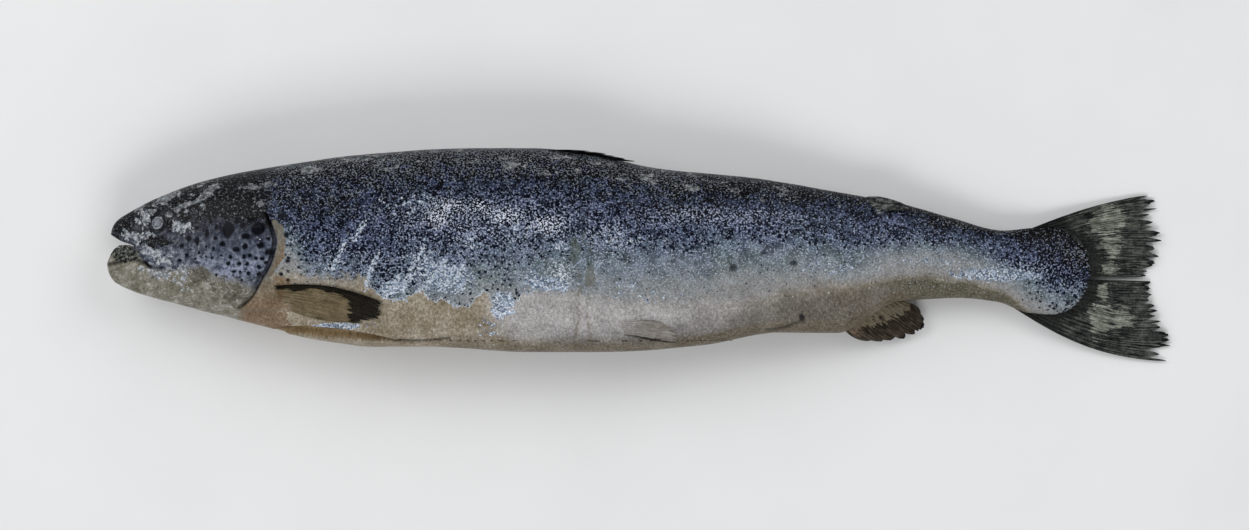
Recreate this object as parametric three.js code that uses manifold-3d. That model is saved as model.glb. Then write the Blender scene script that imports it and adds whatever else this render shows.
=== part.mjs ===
// A whole raw salmon, gutted and uncooked, lying on its right flank. Millimetres.
// X runs from the snout to the tail, Y from the belly to the back, Z up through the left flank.
// The fish is one closed solid: the body, the raised gill covers, the eyes and every fin are
// fused together, and the mouth, the gill slits and the gaping belly cut are taken out of it.

import * as THREE from 'three';
import { mergeVertices } from 'three/addons/utils/BufferGeometryUtils.js';
import Module from 'manifold-3d';

const wasm = await Module();
wasm.setup();

// ---- Driving dimensions ----

const LENGTH = 700; // snout to the longest tail ray
const DEPTH = 134; // belly to back at the deepest place
const THICKNESS = 76; // right flank to left flank at the thickest place

const FLESH_LENGTH = 0.926 * LENGTH; // snout to the rounded end of the scaled flesh, in the tail
const SNOUT_ROUND = 0.013 * LENGTH; // how far back the blunt end of the snout rounds off
const UPPER_JAW_SETBACK = 2.4; // the upper jaw ends this much behind the lower one
const TAIL_ROUND = 0.04 * LENGTH; // the same at the end of the flesh
const SECTION_POWER = 2.2; // a cross-section is a superellipse, a little fuller than an ellipse
const WIDEST_SHARE = 0.53; // height of the widest line, as a share of the depth above the belly
const TABLE_SOFTNESS = 2.5; // how gently the lower flank turns into its flat patch on the table

const RINGS = 46; // cross-sections along the body, besides those at the tip of the snout
const AROUND = 36; // corners of one cross-section

const GILL_COVER_RISE = 2.0; // step from the rear edge of the gill cover down to the shoulder
const GILL_SLIT_WIDTH = 2.4;
const GILL_SLIT_DEPTH = 3.5;
const MOUTH_CORE_INSET = 6; // behind the open front, the gap between the jaws is this deep
const MOUTH_OPEN_LENGTH = 0.021 * LENGTH; // in front of this it goes right through
const EYE_RADIUS = 5.2;
const EYE_RISE = 1.2; // how far the eye stands proud of the cheek
const FIN_ROOT_HALF = 1.6; // half the thickness of a fin where it leaves the body
const FIN_TIP_HALF = 0.6; // and at the tips of its rays
const FIN_CLEARANCE = 0.5; // least height of a fin's underside above the table
const RAY_SWELL = 1.15; // a ray is this much thicker than the fin at large
const WEB_SHARE = 0.8; // and the web between two rays this much thinner

// ---- Lines along the fish: [share of LENGTH from the snout, share of DEPTH or THICKNESS] ----

const BACK_LINE = [
  [0, 0.153], [0.014, 0.199], [0.045, 0.278], [0.092, 0.366], [0.139, 0.419], [0.232, 0.488],
  [0.326, 0.521], [0.4, 0.525], [0.45, 0.5], [0.514, 0.428], [0.611, 0.378], [0.682, 0.317],
  [0.747, 0.255], [0.794, 0.185], [0.843, 0.124], [0.866, 0.136], [0.926, 0.15],
];
const BELLY_LINE = [
  [0, -0.1], [0.01, -0.138], [0.03, -0.184], [0.069, -0.24], [0.139, -0.334], [0.209, -0.422],
  [0.256, -0.446], [0.303, -0.446], [0.396, -0.47], [0.466, -0.47], [0.56, -0.437],
  [0.63, -0.379], [0.684, -0.38], [0.745, -0.222], [0.8, -0.207], [0.836, -0.226],
  [0.866, -0.28], [0.926, -0.3],
];
const HALF_WIDTH_LINE = [
  [0, 0.11], [0.014, 0.155], [0.046, 0.245], [0.091, 0.35], [0.139, 0.434], [0.186, 0.467],
  [0.257, 0.487], [0.357, 0.5], [0.457, 0.487], [0.543, 0.441], [0.614, 0.375], [0.686, 0.3],
  [0.743, 0.237], [0.8, 0.19], [0.857, 0.145], [0.893, 0.1], [0.926, 0.045],
];
// How high the middle plane of the body lies above the table.
const MIDDLE_LINE = [
  [0, 0.33], [0.046, 0.355], [0.139, 0.395], [0.257, 0.428], [0.357, 0.441], [0.457, 0.428],
  [0.543, 0.389], [0.614, 0.336], [0.686, 0.272], [0.743, 0.219], [0.8, 0.178], [0.857, 0.132],
  [0.893, 0.092], [0.926, 0.06], [1, 0.03],
];

// ---- Small helpers ----

const mix = (a, b, t) => a + (b - a) * t;

// The sine or cosine of an ellipse's turn, bent to the superellipse of the cross-sections.
const rounded = (value) => Math.sign(value) * Math.abs(value) ** (2 / SECTION_POWER);

function smoothStep(from, to, value) {
  const t = Math.min(Math.max((value - from) / (to - from), 0), 1);
  return t * t * (3 - 2 * t);
}

// A seeded random number generator, so that the ragged fins come out the same every time.
function seededRandom(seed) {
  let state = seed;
  return () => {
    state = (state * 16807) % 2147483647;
    return state / 2147483647;
  };
}

// A place on the fish seen from above, from shares of its length and depth.
const at = (x, y) => [x * LENGTH, y * DEPTH];

// A curve through points [x, y] that never overshoots between them (monotone cubic).
function curveThrough(points) {
  const last = points.length - 1;
  const rise = points.slice(1).map(([x, y], i) => (y - points[i][1]) / (x - points[i][0]));
  const slope = points.map((point, i) => {
    if (i === 0) return rise[0];
    if (i === last) return rise[last - 1];
    if (rise[i - 1] * rise[i] <= 0) return 0;
    return (2 * rise[i - 1] * rise[i]) / (rise[i - 1] + rise[i]);
  });
  return (x) => {
    if (x <= points[0][0]) return points[0][1];
    if (x >= points[last][0]) return points[last][1];
    const i = points.findIndex((point) => point[0] > x) - 1;
    const step = points[i + 1][0] - points[i][0];
    const t = (x - points[i][0]) / step;
    const pull = step * (slope[i] * t * (1 - t) ** 2 - slope[i + 1] * t * t * (1 - t));
    return mix(points[i][1], points[i + 1][1], t * t * (3 - 2 * t)) + pull;
  };
}

const backShare = curveThrough(BACK_LINE);
const bellyShare = curveThrough(BELLY_LINE);
const halfWidthShare = curveThrough(HALF_WIDTH_LINE);
const middleShare = curveThrough(MIDDLE_LINE);
const middleHeight = (x) => THICKNESS * middleShare(x / LENGTH);

// How much of the full section is left at the rounded ends: 1 along the body, 0 at the very end.
function roundedEnds(x) {
  const fromSnout = Math.max(1 - x / SNOUT_ROUND, 0);
  const fromTail = Math.max(1 - (FLESH_LENGTH - x) / TAIL_ROUND, 0);
  const snout = (1 - fromSnout ** 4) ** 0.25;
  const tail = Math.sqrt(Math.max(1 - fromTail ** 2, 0));
  return snout * tail;
}

// The section at x, drawn in by `inset`: its widest line, and how far it reaches from there.
function sectionAt(x, inset = 0) {
  const ends = roundedEnds(x);
  const back = DEPTH * backShare(x / LENGTH);
  const belly = DEPTH * bellyShare(x / LENGTH);
  const widest = mix(belly, back, WIDEST_SHARE);
  return {
    widest,
    up: Math.max((back - widest) * ends - inset, 0.05),
    down: Math.max((widest - belly) * ends - inset, 0.05),
    half: Math.max(THICKNESS * halfWidthShare(x / LENGTH) * ends - inset, 0.05),
    middle: middleHeight(x),
  };
}

// The weight of the fish presses whatever would lie below the table flat against it.
function pressedFlat(z) {
  if (z >= TABLE_SOFTNESS) return z;
  if (z <= -TABLE_SOFTNESS) return 0;
  return (z + TABLE_SOFTNESS) ** 2 / (4 * TABLE_SOFTNESS);
}

// Height of the skin at a place seen from above: side is 1 for the left flank, -1 for the right.
function skinHeight(x, y, side) {
  const { widest, up, down, half, middle } = sectionAt(x);
  const share = Math.min(Math.abs(y - widest) / (y > widest ? up : down), 1);
  const swell = half * (1 - share ** SECTION_POWER) ** (1 / SECTION_POWER);
  return pressedFlat(middle + side * swell);
}

// ---- From points to closed solids ----

function solidOf(positions, index) {
  const mesh = new wasm.Mesh({
    numProp: 3,
    vertProperties: new Float32Array(positions),
    triVerts: new Uint32Array(index),
  });
  return new wasm.Manifold(mesh);
}

function solidOfGeometry(geometry, matrix = new THREE.Matrix4()) {
  geometry.deleteAttribute('normal');
  geometry.deleteAttribute('uv');
  const merged = mergeVertices(geometry).applyMatrix4(matrix);
  return solidOf(merged.attributes.position.array, merged.index.array);
}

// A tube through rings of points, closed at both ends by a fan to the middle of the end ring.
function tubeThrough(rings) {
  const around = rings[0].length;
  const positions = rings.flat(2);
  const index = [];
  for (let i = 0; i + 1 < rings.length; i += 1) {
    for (let j = 0; j < around; j += 1) {
      const a = i * around + j;
      const b = i * around + ((j + 1) % around);
      index.push(a, b, a + around, b, b + around, a + around);
    }
  }
  [0, rings.length - 1].forEach((ring) => {
    const middle = positions.length / 3;
    [0, 1, 2].forEach((axis) => {
      positions.push(rings[ring].reduce((sum, point) => sum + point[axis], 0) / around);
    });
    for (let j = 0; j < around; j += 1) {
      const a = ring * around + j;
      const b = ring * around + ((j + 1) % around);
      if (ring === 0) index.push(middle, b, a);
      else index.push(middle, a, b);
    }
  });
  return solidOf(positions, index);
}

// The same tube whichever way round its rings run.
function tubeFacingOut(rings) {
  const solid = tubeThrough(rings);
  return solid.volume() > 0 ? solid : tubeThrough(rings.toReversed());
}

// A thin fin: point(u, v) gives the middle of the web from root (u = 0) to tip (u = 1), and
// half(u, v) half its thickness. Both faces are split into triangles alike.
function thinPlate(alongCount, acrossCount, point, half) {
  const rings = [];
  for (let i = 0; i <= acrossCount; i += 1) {
    const v = i / acrossCount;
    const upper = [];
    const lower = [];
    for (let j = 0; j <= alongCount; j += 1) {
      const u = j / alongCount;
      const [x, y, z] = point(u, v);
      const thick = half(u, v);
      const floor = Math.max(z - thick, FIN_CLEARANCE);
      upper.push([x, y, floor + 2 * thick]);
      lower.push([x, y, floor]);
    }
    rings.push([...upper, ...lower.reverse()]);
  }
  return tubeFacingOut(rings);
}

// A prism that goes right through the fish, over a closed outline of [x, y] points.
function prismThrough(outline) {
  const shape = new THREE.Shape(outline.map(([x, y]) => new THREE.Vector2(x, y)));
  const geometry = new THREE.ExtrudeGeometry(shape, { depth: 3 * THICKNESS, bevelEnabled: false });
  geometry.translate(0, 0, -THICKNESS);
  return solidOfGeometry(geometry);
}

// ---- Body ----

// Where the cross-sections lie: closer together at both ends, and closest where the snout rounds.
function ringPositions() {
  const positions = [0.3, 1.2, 2.6, 4.4];
  const endGap = 0.15; // the last section stops this share of a step short of the very end
  for (let i = 1; i <= RINGS; i += 1) {
    const t = i / (RINGS + endGap);
    const evenly = FLESH_LENGTH * t;
    const closerAtEnds = FLESH_LENGTH * (0.5 - 0.5 * Math.cos(Math.PI * t));
    positions.push(mix(evenly, closerAtEnds, 0.45));
  }
  return positions;
}

// The upper jaw stands a little behind the lower one; further back nothing shifts.
function jawSetback(x, y) {
  const upper = smoothStep(-0.06 * DEPTH, 0.1 * DEPTH, y);
  return UPPER_JAW_SETBACK * upper * smoothStep(0.06 * LENGTH, 0, x);
}

// The body's skin, drawn in by `inset` and pushed out sideways by rise(x, y).
function bodySolid(inset = 0, rise = () => 0) {
  const rings = ringPositions().map((x) => {
    const { widest, up, down, half, middle } = sectionAt(x, inset);
    return Array.from({ length: AROUND }, (unused, i) => {
      const turn = (2 * Math.PI * i) / AROUND;
      const across = Math.cos(turn);
      const out = Math.sin(turn);
      const y = widest + (across > 0 ? up : down) * rounded(across);
      return [x + jawSetback(x, y), y, pressedFlat(middle + rounded(out) * (half + rise(x, y)))];
    });
  });
  return tubeFacingOut(rings);
}

// ---- Head ----

// The rear edge of the gill cover, from its upper end round to the throat.
function gillEdgePoints() {
  const edge = [at(0.149, 0.235), at(0.157, 0.146), at(0.161, 0.071), at(0.159, 0.011),
    at(0.154, -0.059), at(0.145, -0.12), at(0.135, -0.2), at(0.123, -0.262)];
  const curve = new THREE.SplineCurve(edge.map(([x, y]) => new THREE.Vector2(x, y)));
  return curve.getPoints(18).map((point) => [point.x, point.y]);
}

// Both gill covers: the cheek swells a little towards the edge, and ends there in a step.
function gillCovers() {
  const front = 0.075 * LENGTH;
  const top = 0.235 * DEPTH;
  const bottom = -0.262 * DEPTH;
  const hidden = -0.1;
  const swell = (x, y) => {
    const lengthwise = smoothStep(front, 0.13 * LENGTH, x);
    const upright = smoothStep(0.2 * DEPTH, 0.13 * DEPTH, y) * smoothStep(bottom, -0.19 * DEPTH, y);
    return mix(hidden, GILL_COVER_RISE, lengthwise * upright);
  };
  const outline = [[front, bottom], ...gillEdgePoints().reverse(), [front, top]];
  return bodySolid(0, swell).intersect(prismThrough(outline));
}

// The slit that the gill cover closes over, cut behind its edge.
function gillSlits() {
  const edge = gillEdgePoints();
  const behind = edge.map(([x, y], i) => {
    const taper = Math.sin((Math.PI * (i + 0.6)) / edge.length);
    return [x + GILL_SLIT_WIDTH * taper + 0.05, y - 0.3 * GILL_SLIT_WIDTH * taper];
  });
  return prismThrough([...edge, ...behind.reverse()]).subtract(bodySolid(GILL_SLIT_DEPTH));
}

// The parted jaws: open right through in front, then a groove down and back to the mouth corner.
function mouthGap() {
  const upperLip = [at(-0.03, 0.104), at(0.0047, 0.102), at(0.015, 0.071), at(0.0267, 0.0505),
    at(0.0334, 0.009), at(0.0374, -0.03), at(0.043, -0.054), at(0.068, -0.056)];
  const lowerLip = [at(0.068, -0.062), at(0.042, -0.063), at(0.0352, -0.036), at(0.0315, 0.002),
    at(0.0258, 0.042), at(0.0197, 0.053), at(0.013, 0.051), at(0.0084, 0.033), at(0.0056, 0.0137),
    at(0.001, -0.035), at(-0.03, -0.045)];
  const core = bodySolid(MOUTH_CORE_INSET);
  const behind = [at(1, -1), at(1, 1), [MOUTH_OPEN_LENGTH, DEPTH], [MOUTH_OPEN_LENGTH, -DEPTH]];
  return prismThrough([...upperLip, ...lowerLip]).subtract(core.intersect(prismThrough(behind)));
}

function eyes() {
  const x = 0.0497 * LENGTH;
  const y = 0.159 * DEPTH;
  return [1, -1].map((side) => {
    const z = skinHeight(x, y, side);
    const place = new THREE.Matrix4().makeTranslation(x, y, z);
    const flatten = new THREE.Matrix4().makeScale(1, 1, EYE_RISE / EYE_RADIUS);
    const lean = new THREE.Matrix4().makeRotationFromEuler(new THREE.Euler(-0.28 * side, -0.34 * side, 0));
    const matrix = place.multiply(lean).multiply(flatten);
    return solidOfGeometry(new THREE.SphereGeometry(EYE_RADIUS, 16, 6), matrix);
  });
}

// ---- Fins ----

// A fin of rays. roots and tips are curves of [x, y] points from one edge to the other, bow is
// how far the two edges curve outwards, and ragged is how deep the web is torn between the rays.
function rayedFin({ rays, along, roots, tips, bow, ragged, seed, height }) {
  const random = seededRandom(seed);
  const rootCurve = new THREE.SplineCurve(roots.map(([x, y]) => new THREE.Vector2(x, y)));
  const tipCurve = new THREE.SplineCurve(tips.map(([x, y]) => new THREE.Vector2(x, y)));
  const across = 2 * rays;
  const reach = Array.from({ length: across + 1 }, (unused, i) => {
    const torn = ragged * mix(0.5, 1, random());
    return i % 2 === 1 ? 1 - 0.2 * torn : 1 - torn;
  });
  const point = (u, v) => {
    const root = rootCurve.getPoint(v);
    const tip = tipCurve.getPoint(v);
    const out = u * reach[Math.round(v * across)];
    const x = mix(root.x, tip.x, out);
    const y = mix(root.y, tip.y, out) + mix(bow[0], bow[1], v) * Math.sin(Math.PI * out);
    return [x, y, height(x, y, u)];
  };
  const half = (u, v) => {
    const isRay = Math.round(v * across) % 2 === 1;
    return mix(FIN_ROOT_HALF, FIN_TIP_HALF, u) * (isRay ? RAY_SWELL : WEB_SHARE);
  };
  return thinPlate(along, across, point, half);
}

// The tail fin is two lobes, torn apart along one ray below its middle. It sinks to the table.
function tailFin() {
  const tipHeight = 2.2;
  const wave = 1.1;
  const fall = (x, y, u) => mix(middleHeight(x), tipHeight + wave * Math.sin(0.12 * y), u);
  const upperLobe = rayedFin({
    rays: 11,
    along: 6,
    roots: [at(0.858, 0.112), at(0.885, 0.085), at(0.915, 0.02), at(0.918, -0.1)],
    tips: [at(0.988, 0.309), at(0.986, 0.2), at(0.99, 0.09), at(0.985, -0.02), at(0.976, -0.107)],
    bow: [3.5, 0],
    ragged: 0.07,
    seed: 11,
    height: fall,
  });
  const lowerLobe = rayedFin({
    rays: 10,
    along: 6,
    roots: [at(0.918, -0.115), at(0.914, -0.2), at(0.885, -0.26), at(0.84, -0.215)],
    tips: [at(0.98, -0.125), at(0.983, -0.22), at(0.99, -0.305), at(1.0015, -0.41), at(1.001, -0.525)],
    bow: [0, -10],
    ragged: 0.06,
    seed: 23,
    height: fall,
  });
  return [upperLobe, lowerLobe];
}

function analFin() {
  return rayedFin({
    rays: 8,
    along: 5,
    roots: [at(0.684, -0.35), at(0.71, -0.28), at(0.736, -0.2)],
    tips: [at(0.725, -0.424), at(0.75, -0.4), at(0.765, -0.33), at(0.764, -0.272)],
    bow: [-2.5, 1],
    ragged: 0.1,
    seed: 37,
    height: (x, y, u) => mix(middleHeight(x), 6, u * u),
  });
}

// The dorsal fin is folded down along the ridge of the back.
function dorsalFin() {
  return rayedFin({
    rays: 8,
    along: 4,
    roots: [at(0.385, 0.505), at(0.42, 0.497), at(0.455, 0.475)],
    tips: [at(0.452, 0.513), at(0.478, 0.488), at(0.503, 0.452)],
    bow: [1, 0],
    ragged: 0.15,
    seed: 41,
    height: (x, y, u) => middleHeight(x) + mix(2, 11, u),
  });
}

// The small fleshy fin near the tail, folded back on to the flank.
function adiposeFin() {
  const x = 0.73 * LENGTH;
  const y = 0.252 * DEPTH;
  const place = new THREE.Matrix4().makeTranslation(x, y, skinHeight(x, y, 1) + 0.4);
  const lean = new THREE.Matrix4().makeRotationFromEuler(new THREE.Euler(-0.75, 0.05, -0.16));
  const size = new THREE.Matrix4().makeScale(0.021 * LENGTH, 0.04 * DEPTH, 1.8);
  return solidOfGeometry(new THREE.SphereGeometry(1, 16, 6), place.multiply(lean).multiply(size));
}

// The paired fins lie back against the flanks: side 1 is the left, -1 the right, under the fish.
function pectoralFin(side) {
  return rayedFin({
    rays: 7,
    along: 6,
    roots: [at(0.156, -0.15), at(0.158, -0.195), at(0.161, -0.245)],
    tips: [at(0.258, -0.25), at(0.246, -0.29), at(0.23, -0.325)],
    bow: [3.5, -0.5],
    ragged: 0.09,
    seed: 53,
    height: (x, y, u) => skinHeight(x, y, side) + side * mix(-0.3, 1.8, u),
  });
}

function pelvicFin(side) {
  return rayedFin({
    rays: 6,
    along: 5,
    roots: [at(0.474, -0.352), at(0.476, -0.39), at(0.48, -0.425)],
    tips: [at(0.528, -0.4), at(0.54, -0.425), at(0.536, -0.45)],
    bow: [1.5, -0.5],
    ragged: 0.14,
    seed: 61,
    height: (x, y, u) => skinHeight(x, y, side) + side * mix(-0.4, 1.6, u),
  });
}

// ---- Belly cut ----

// The cut that the fish was gutted through gapes behind the throat, just inside the belly line.
function bellyCut() {
  const x = 0.2165 * LENGTH;
  const y = -0.392 * DEPTH;
  const place = new THREE.Matrix4().makeTranslation(x, y, skinHeight(x, y, 1));
  const lean = new THREE.Matrix4().makeRotationFromEuler(new THREE.Euler(1.05, 0, -0.1));
  const size = new THREE.Matrix4().makeScale(0.058 * LENGTH, 6.5, 5.5);
  return solidOfGeometry(new THREE.SphereGeometry(1, 22, 10), place.multiply(lean).multiply(size));
}

// ---- The whole fish ----

function fishSolid() {
  const added = [
    gillCovers(), ...eyes(), ...tailFin(), analFin(), dorsalFin(), adiposeFin(),
    pectoralFin(1), pectoralFin(-1), pelvicFin(1), pelvicFin(-1),
  ];
  const removed = [gillSlits(), mouthGap(), bellyCut()];
  const body = bodySolid().subtract(removed[0]).subtract(removed[1]).subtract(removed[2]);
  return added.reduce((whole, piece) => whole.add(piece), body);
}

function geometryOf(solid) {
  const { vertProperties, triVerts } = solid.getMesh();
  const geometry = new THREE.BufferGeometry();
  geometry.setAttribute('position', new THREE.BufferAttribute(new Float32Array(vertProperties), 3));
  geometry.setIndex(new THREE.BufferAttribute(new Uint32Array(triVerts), 1));
  geometry.computeVertexNormals();
  return geometry;
}

const SKIN = new THREE.MeshStandardMaterial({ color: 0x6f7b88, roughness: 0.35, metalness: 0.15 });

const fish = new THREE.Mesh(geometryOf(fishSolid()), SKIN);
fish.name = 'fish';
fish.geometry.computeBoundingBox();
const box = fish.geometry.boundingBox;
fish.position.set(-(box.min.x + box.max.x) / 2, -(box.min.y + box.max.y) / 2, -box.min.z);

const group = new THREE.Group();
group.add(fish);

export default group;
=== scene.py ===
# %% [markdown]
# # A whole raw salmon, lying on its right side
# The fish is one skin over one soft body, so it is made as one long surface that is wrapped
# round its cross-sections, and the fins and the eyes are pieces of their own, while the
# linings of its openings belong to the skin. Everything is worked out in millimetres along
# the fish: x from the snout to the tail, y from the belly to the back, z up from the table.
# The surface is dense, so that the gill cover, the mouth, the belly cut and even the scales
# are really shaped.

# %% Start from the imported fish
import math

import bmesh
import bpy
import numpy as np
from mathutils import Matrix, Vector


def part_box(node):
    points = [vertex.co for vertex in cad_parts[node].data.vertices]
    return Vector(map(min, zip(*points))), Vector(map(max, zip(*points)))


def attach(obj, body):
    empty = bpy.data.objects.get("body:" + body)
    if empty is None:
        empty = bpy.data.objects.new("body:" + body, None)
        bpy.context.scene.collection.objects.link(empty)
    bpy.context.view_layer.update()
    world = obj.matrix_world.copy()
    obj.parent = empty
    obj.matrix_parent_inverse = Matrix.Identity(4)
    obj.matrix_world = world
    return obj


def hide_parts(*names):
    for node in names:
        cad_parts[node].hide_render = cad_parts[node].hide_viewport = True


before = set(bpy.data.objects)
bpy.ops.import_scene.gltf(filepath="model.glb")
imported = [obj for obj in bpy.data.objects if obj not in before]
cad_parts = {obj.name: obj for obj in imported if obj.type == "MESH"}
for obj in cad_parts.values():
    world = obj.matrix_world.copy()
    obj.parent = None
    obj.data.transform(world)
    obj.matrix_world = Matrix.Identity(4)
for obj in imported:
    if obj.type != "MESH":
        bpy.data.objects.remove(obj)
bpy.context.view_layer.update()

MM = 0.001
fish_low, fish_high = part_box("fish")
print("the fish is", [round((b - a) / MM, 1) for a, b in zip(fish_low, fish_high)], "mm")

# %% [markdown]
# ## The lines that the fish is built on
# A boat builder draws a hull from a few long lines, and a fish can be drawn the same way: the
# line of the back, the line of the belly, how wide the body is and how high its middle lies.
# Between the points runs a curve that never swings past them, so the outline stays fair.

# %% Driving dimensions and lines
LENGTH = 700.0
DEPTH = 134.0
THICKNESS = 76.0
FLESH_LENGTH = 0.926 * LENGTH  # the scaled flesh ends here, inside the tail fin
SNOUT_ROUND = 0.013 * LENGTH
TAIL_ROUND = 0.04 * LENGTH
UPPER_JAW_SETBACK = 2.4
SECTION_POWER = 2.2  # a cross-section is a little fuller than an ellipse
WIDEST_SHARE = 0.53
TABLE_SOFTNESS = 2.5
SNOUT_LEAD = 0.35  # the jaw stands this far in front of x = 0
BACK_REACH = 0.5248 * DEPTH  # the highest place of the back above y = 0
# where x = 0, y = 0 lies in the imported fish's frame
ORIGIN = np.array([fish_low.x / MM - SNOUT_LEAD, fish_high.y / MM - BACK_REACH, 0])
DEEPEST_X = 0.38 * LENGTH
print("length", LENGTH, "mm, of which scaled flesh", FLESH_LENGTH, "mm")

BACK_LINE = [
    (0, 0.153), (0.014, 0.199), (0.045, 0.278), (0.092, 0.366), (0.139, 0.419), (0.232, 0.488),
    (0.326, 0.521), (0.4, 0.525), (0.45, 0.5), (0.514, 0.428), (0.611, 0.378), (0.682, 0.317),
    (0.747, 0.255), (0.794, 0.185), (0.843, 0.124), (0.866, 0.136), (0.926, 0.15),
]
BELLY_LINE = [
    (0, -0.1), (0.01, -0.138), (0.03, -0.184), (0.069, -0.24), (0.139, -0.334),
    (0.209, -0.422), (0.256, -0.446), (0.303, -0.446), (0.396, -0.47), (0.466, -0.47),
    (0.56, -0.437), (0.63, -0.379), (0.684, -0.38), (0.745, -0.222), (0.8, -0.207),
    (0.836, -0.226), (0.866, -0.28), (0.926, -0.3),
]
HALF_WIDTH_LINE = [
    (0, 0.11), (0.014, 0.155), (0.046, 0.245), (0.091, 0.35), (0.139, 0.434), (0.186, 0.467),
    (0.257, 0.487), (0.357, 0.5), (0.457, 0.487), (0.543, 0.441), (0.614, 0.375),
    (0.686, 0.3), (0.743, 0.237), (0.8, 0.19), (0.857, 0.145), (0.893, 0.1), (0.926, 0.045),
]
MIDDLE_LINE = [
    (0, 0.33), (0.046, 0.355), (0.139, 0.395), (0.257, 0.428), (0.357, 0.441), (0.457, 0.428),
    (0.543, 0.389), (0.614, 0.336), (0.686, 0.272), (0.743, 0.219), (0.8, 0.178),
    (0.857, 0.132), (0.893, 0.092), (0.926, 0.06), (1, 0.03),
]


# %% Curves and blends
def mix(a, b, share):
    return a + (b - a) * share


def ease(start, end, value):
    """How far a value has come from start to end, from 0 to 1, with soft beginning and end."""
    t = np.clip((value - start) / (end - start), 0, 1)
    return t * t * (3 - 2 * t)


def curve_through(points):
    """A curve through points that never overshoots between them, as a function of x."""
    xs, ys = np.array(points, float).T
    rise = np.diff(ys) / np.diff(xs)
    slope = np.concatenate([rise[:1], np.zeros(len(xs) - 2), rise[-1:]])
    same_way = rise[:-1] * rise[1:] > 0
    both = np.where(same_way, rise[:-1] + rise[1:], 1)
    slope[1:-1] = np.where(same_way, 2 * rise[:-1] * rise[1:] / both, 0)

    def curve(x):
        x = np.clip(x, xs[0], xs[-1])
        i = np.clip(np.searchsorted(xs, x, side="right") - 1, 0, len(rise) - 1)
        step = xs[i + 1] - xs[i]
        t = (x - xs[i]) / step
        pull = step * (slope[i] * t * (1 - t) ** 2 - slope[i + 1] * t * t * (1 - t))
        return mix(ys[i], ys[i + 1], t * t * (3 - 2 * t)) + pull

    return curve


def smooth_line(points, count):
    """Evenly counted points on a flowing line through a few given ones."""
    points = np.array(points, float)
    last = len(points) - 1
    place = np.linspace(0, last, count)
    i = np.clip(place.astype(int), 0, last - 1)
    t = (place - i)[:, None]
    before, here = points[np.maximum(i - 1, 0)], points[i]
    after, beyond = points[i + 1], points[np.minimum(i + 2, last)]
    pull_here, pull_after = (after - before) / 2, (beyond - here) / 2
    return (
        (2 * here - 2 * after + pull_here + pull_after) * t**3
        + (3 * after - 3 * here - 2 * pull_here - pull_after) * t**2
        + pull_here * t
        + here
    )


back_share = curve_through(BACK_LINE)
belly_share = curve_through(BELLY_LINE)
half_width_share = curve_through(HALF_WIDTH_LINE)
middle_share = curve_through(MIDDLE_LINE)
depth_there = DEPTH * float(back_share(DEEPEST_X / LENGTH) - belly_share(DEEPEST_X / LENGTH))
print("deepest near x =", DEEPEST_X, "mm:", round(depth_there, 1), "mm from belly to back")

# %% [markdown]
# ## The cross-section
# Cut across, the fish is an oval that is a little fuller than an ellipse, with its widest
# place above the middle. It could be drawn section by section, but one formula that takes its
# size from the four lines gives every section between them too. Both ends are rounded off, and
# the side on which the fish lies is pressed flat by its weight.


# %% The cross-section anywhere along the fish
def middle_height(x):
    return THICKNESS * middle_share(x / LENGTH)


def rounded_ends(x):
    from_snout = np.clip(1 - x / SNOUT_ROUND, 0, 1)
    from_tail = np.clip(1 - (FLESH_LENGTH - x) / TAIL_ROUND, 0, 1)
    return (1 - from_snout**4) ** 0.25 * np.sqrt(1 - from_tail**2)


def section_at(x):
    """The widest line, the reach up, down and sideways from it, and the middle's height."""
    ends = rounded_ends(x)
    back, belly = DEPTH * back_share(x / LENGTH), DEPTH * belly_share(x / LENGTH)
    widest = mix(belly, back, WIDEST_SHARE)
    up = np.maximum((back - widest) * ends, 0.05)
    down = np.maximum((widest - belly) * ends, 0.05)
    half = np.maximum(THICKNESS * half_width_share(x / LENGTH) * ends, 0.05)
    return widest, up, down, half, middle_height(x)


def rounded(value):
    return np.sign(value) * np.abs(value) ** (2 / SECTION_POWER)


def pressed_flat(z):
    """The weight of the fish presses the lower flank flat against the table."""
    soft = (z + TABLE_SOFTNESS) ** 2 / (4 * TABLE_SOFTNESS)
    return np.where(z >= TABLE_SOFTNESS, z, np.where(z <= -TABLE_SOFTNESS, 0, soft))


def skin_height(x, y, side):
    """Height of the skin seen from above: side is 1 for the left flank, -1 for the right."""
    widest, up, down, half, middle = section_at(x)
    share = np.clip(np.abs(y - widest) / np.where(y > widest, up, down), 0, 1)
    return pressed_flat(middle + side * half * (1 - share**SECTION_POWER) ** (1 / SECTION_POWER))


top_there = float(skin_height(DEEPEST_X, 0.0, 1))
print("the left flank lies", round(top_there, 1), "mm above the table there")

# %% [markdown]
# ## Wrapping the skin
# The skin is a grid: rings of points round the cross-sections, closer together where there is
# more to see. The left flank lies on top, so it gets three quarters of each ring. All pieces
# of the skin are cut from this one grid, and every ring knows its neighbours on both sides,
# so the light runs on over the joins between the pieces.

# %% Rings of skin
UPPER_COLUMNS = 240  # columns over the left flank, from the back to the belly
LOWER_COLUMNS = 40  # columns on each half of the right flank, which lies underneath
HEAD_END = 122.0

lower_front = np.linspace(-math.pi / 2, 0, LOWER_COLUMNS, endpoint=False)
over_flank = np.linspace(0, math.pi, UPPER_COLUMNS, endpoint=False)
lower_rear = np.linspace(math.pi, 1.5 * math.pi, LOWER_COLUMNS, endpoint=False)
TURNS = np.concatenate([lower_front, over_flank, lower_rear])
COLUMNS = len(TURNS)
TOP_COLUMN = LOWER_COLUMNS + UPPER_COLUMNS // 2  # the column along the middle of the left flank


def jaw_setback(x, y):
    upper = ease(-0.06 * DEPTH, 0.1 * DEPTH, y)
    return UPPER_JAW_SETBACK * upper * ease(0.06 * LENGTH, 0, x)


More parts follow.
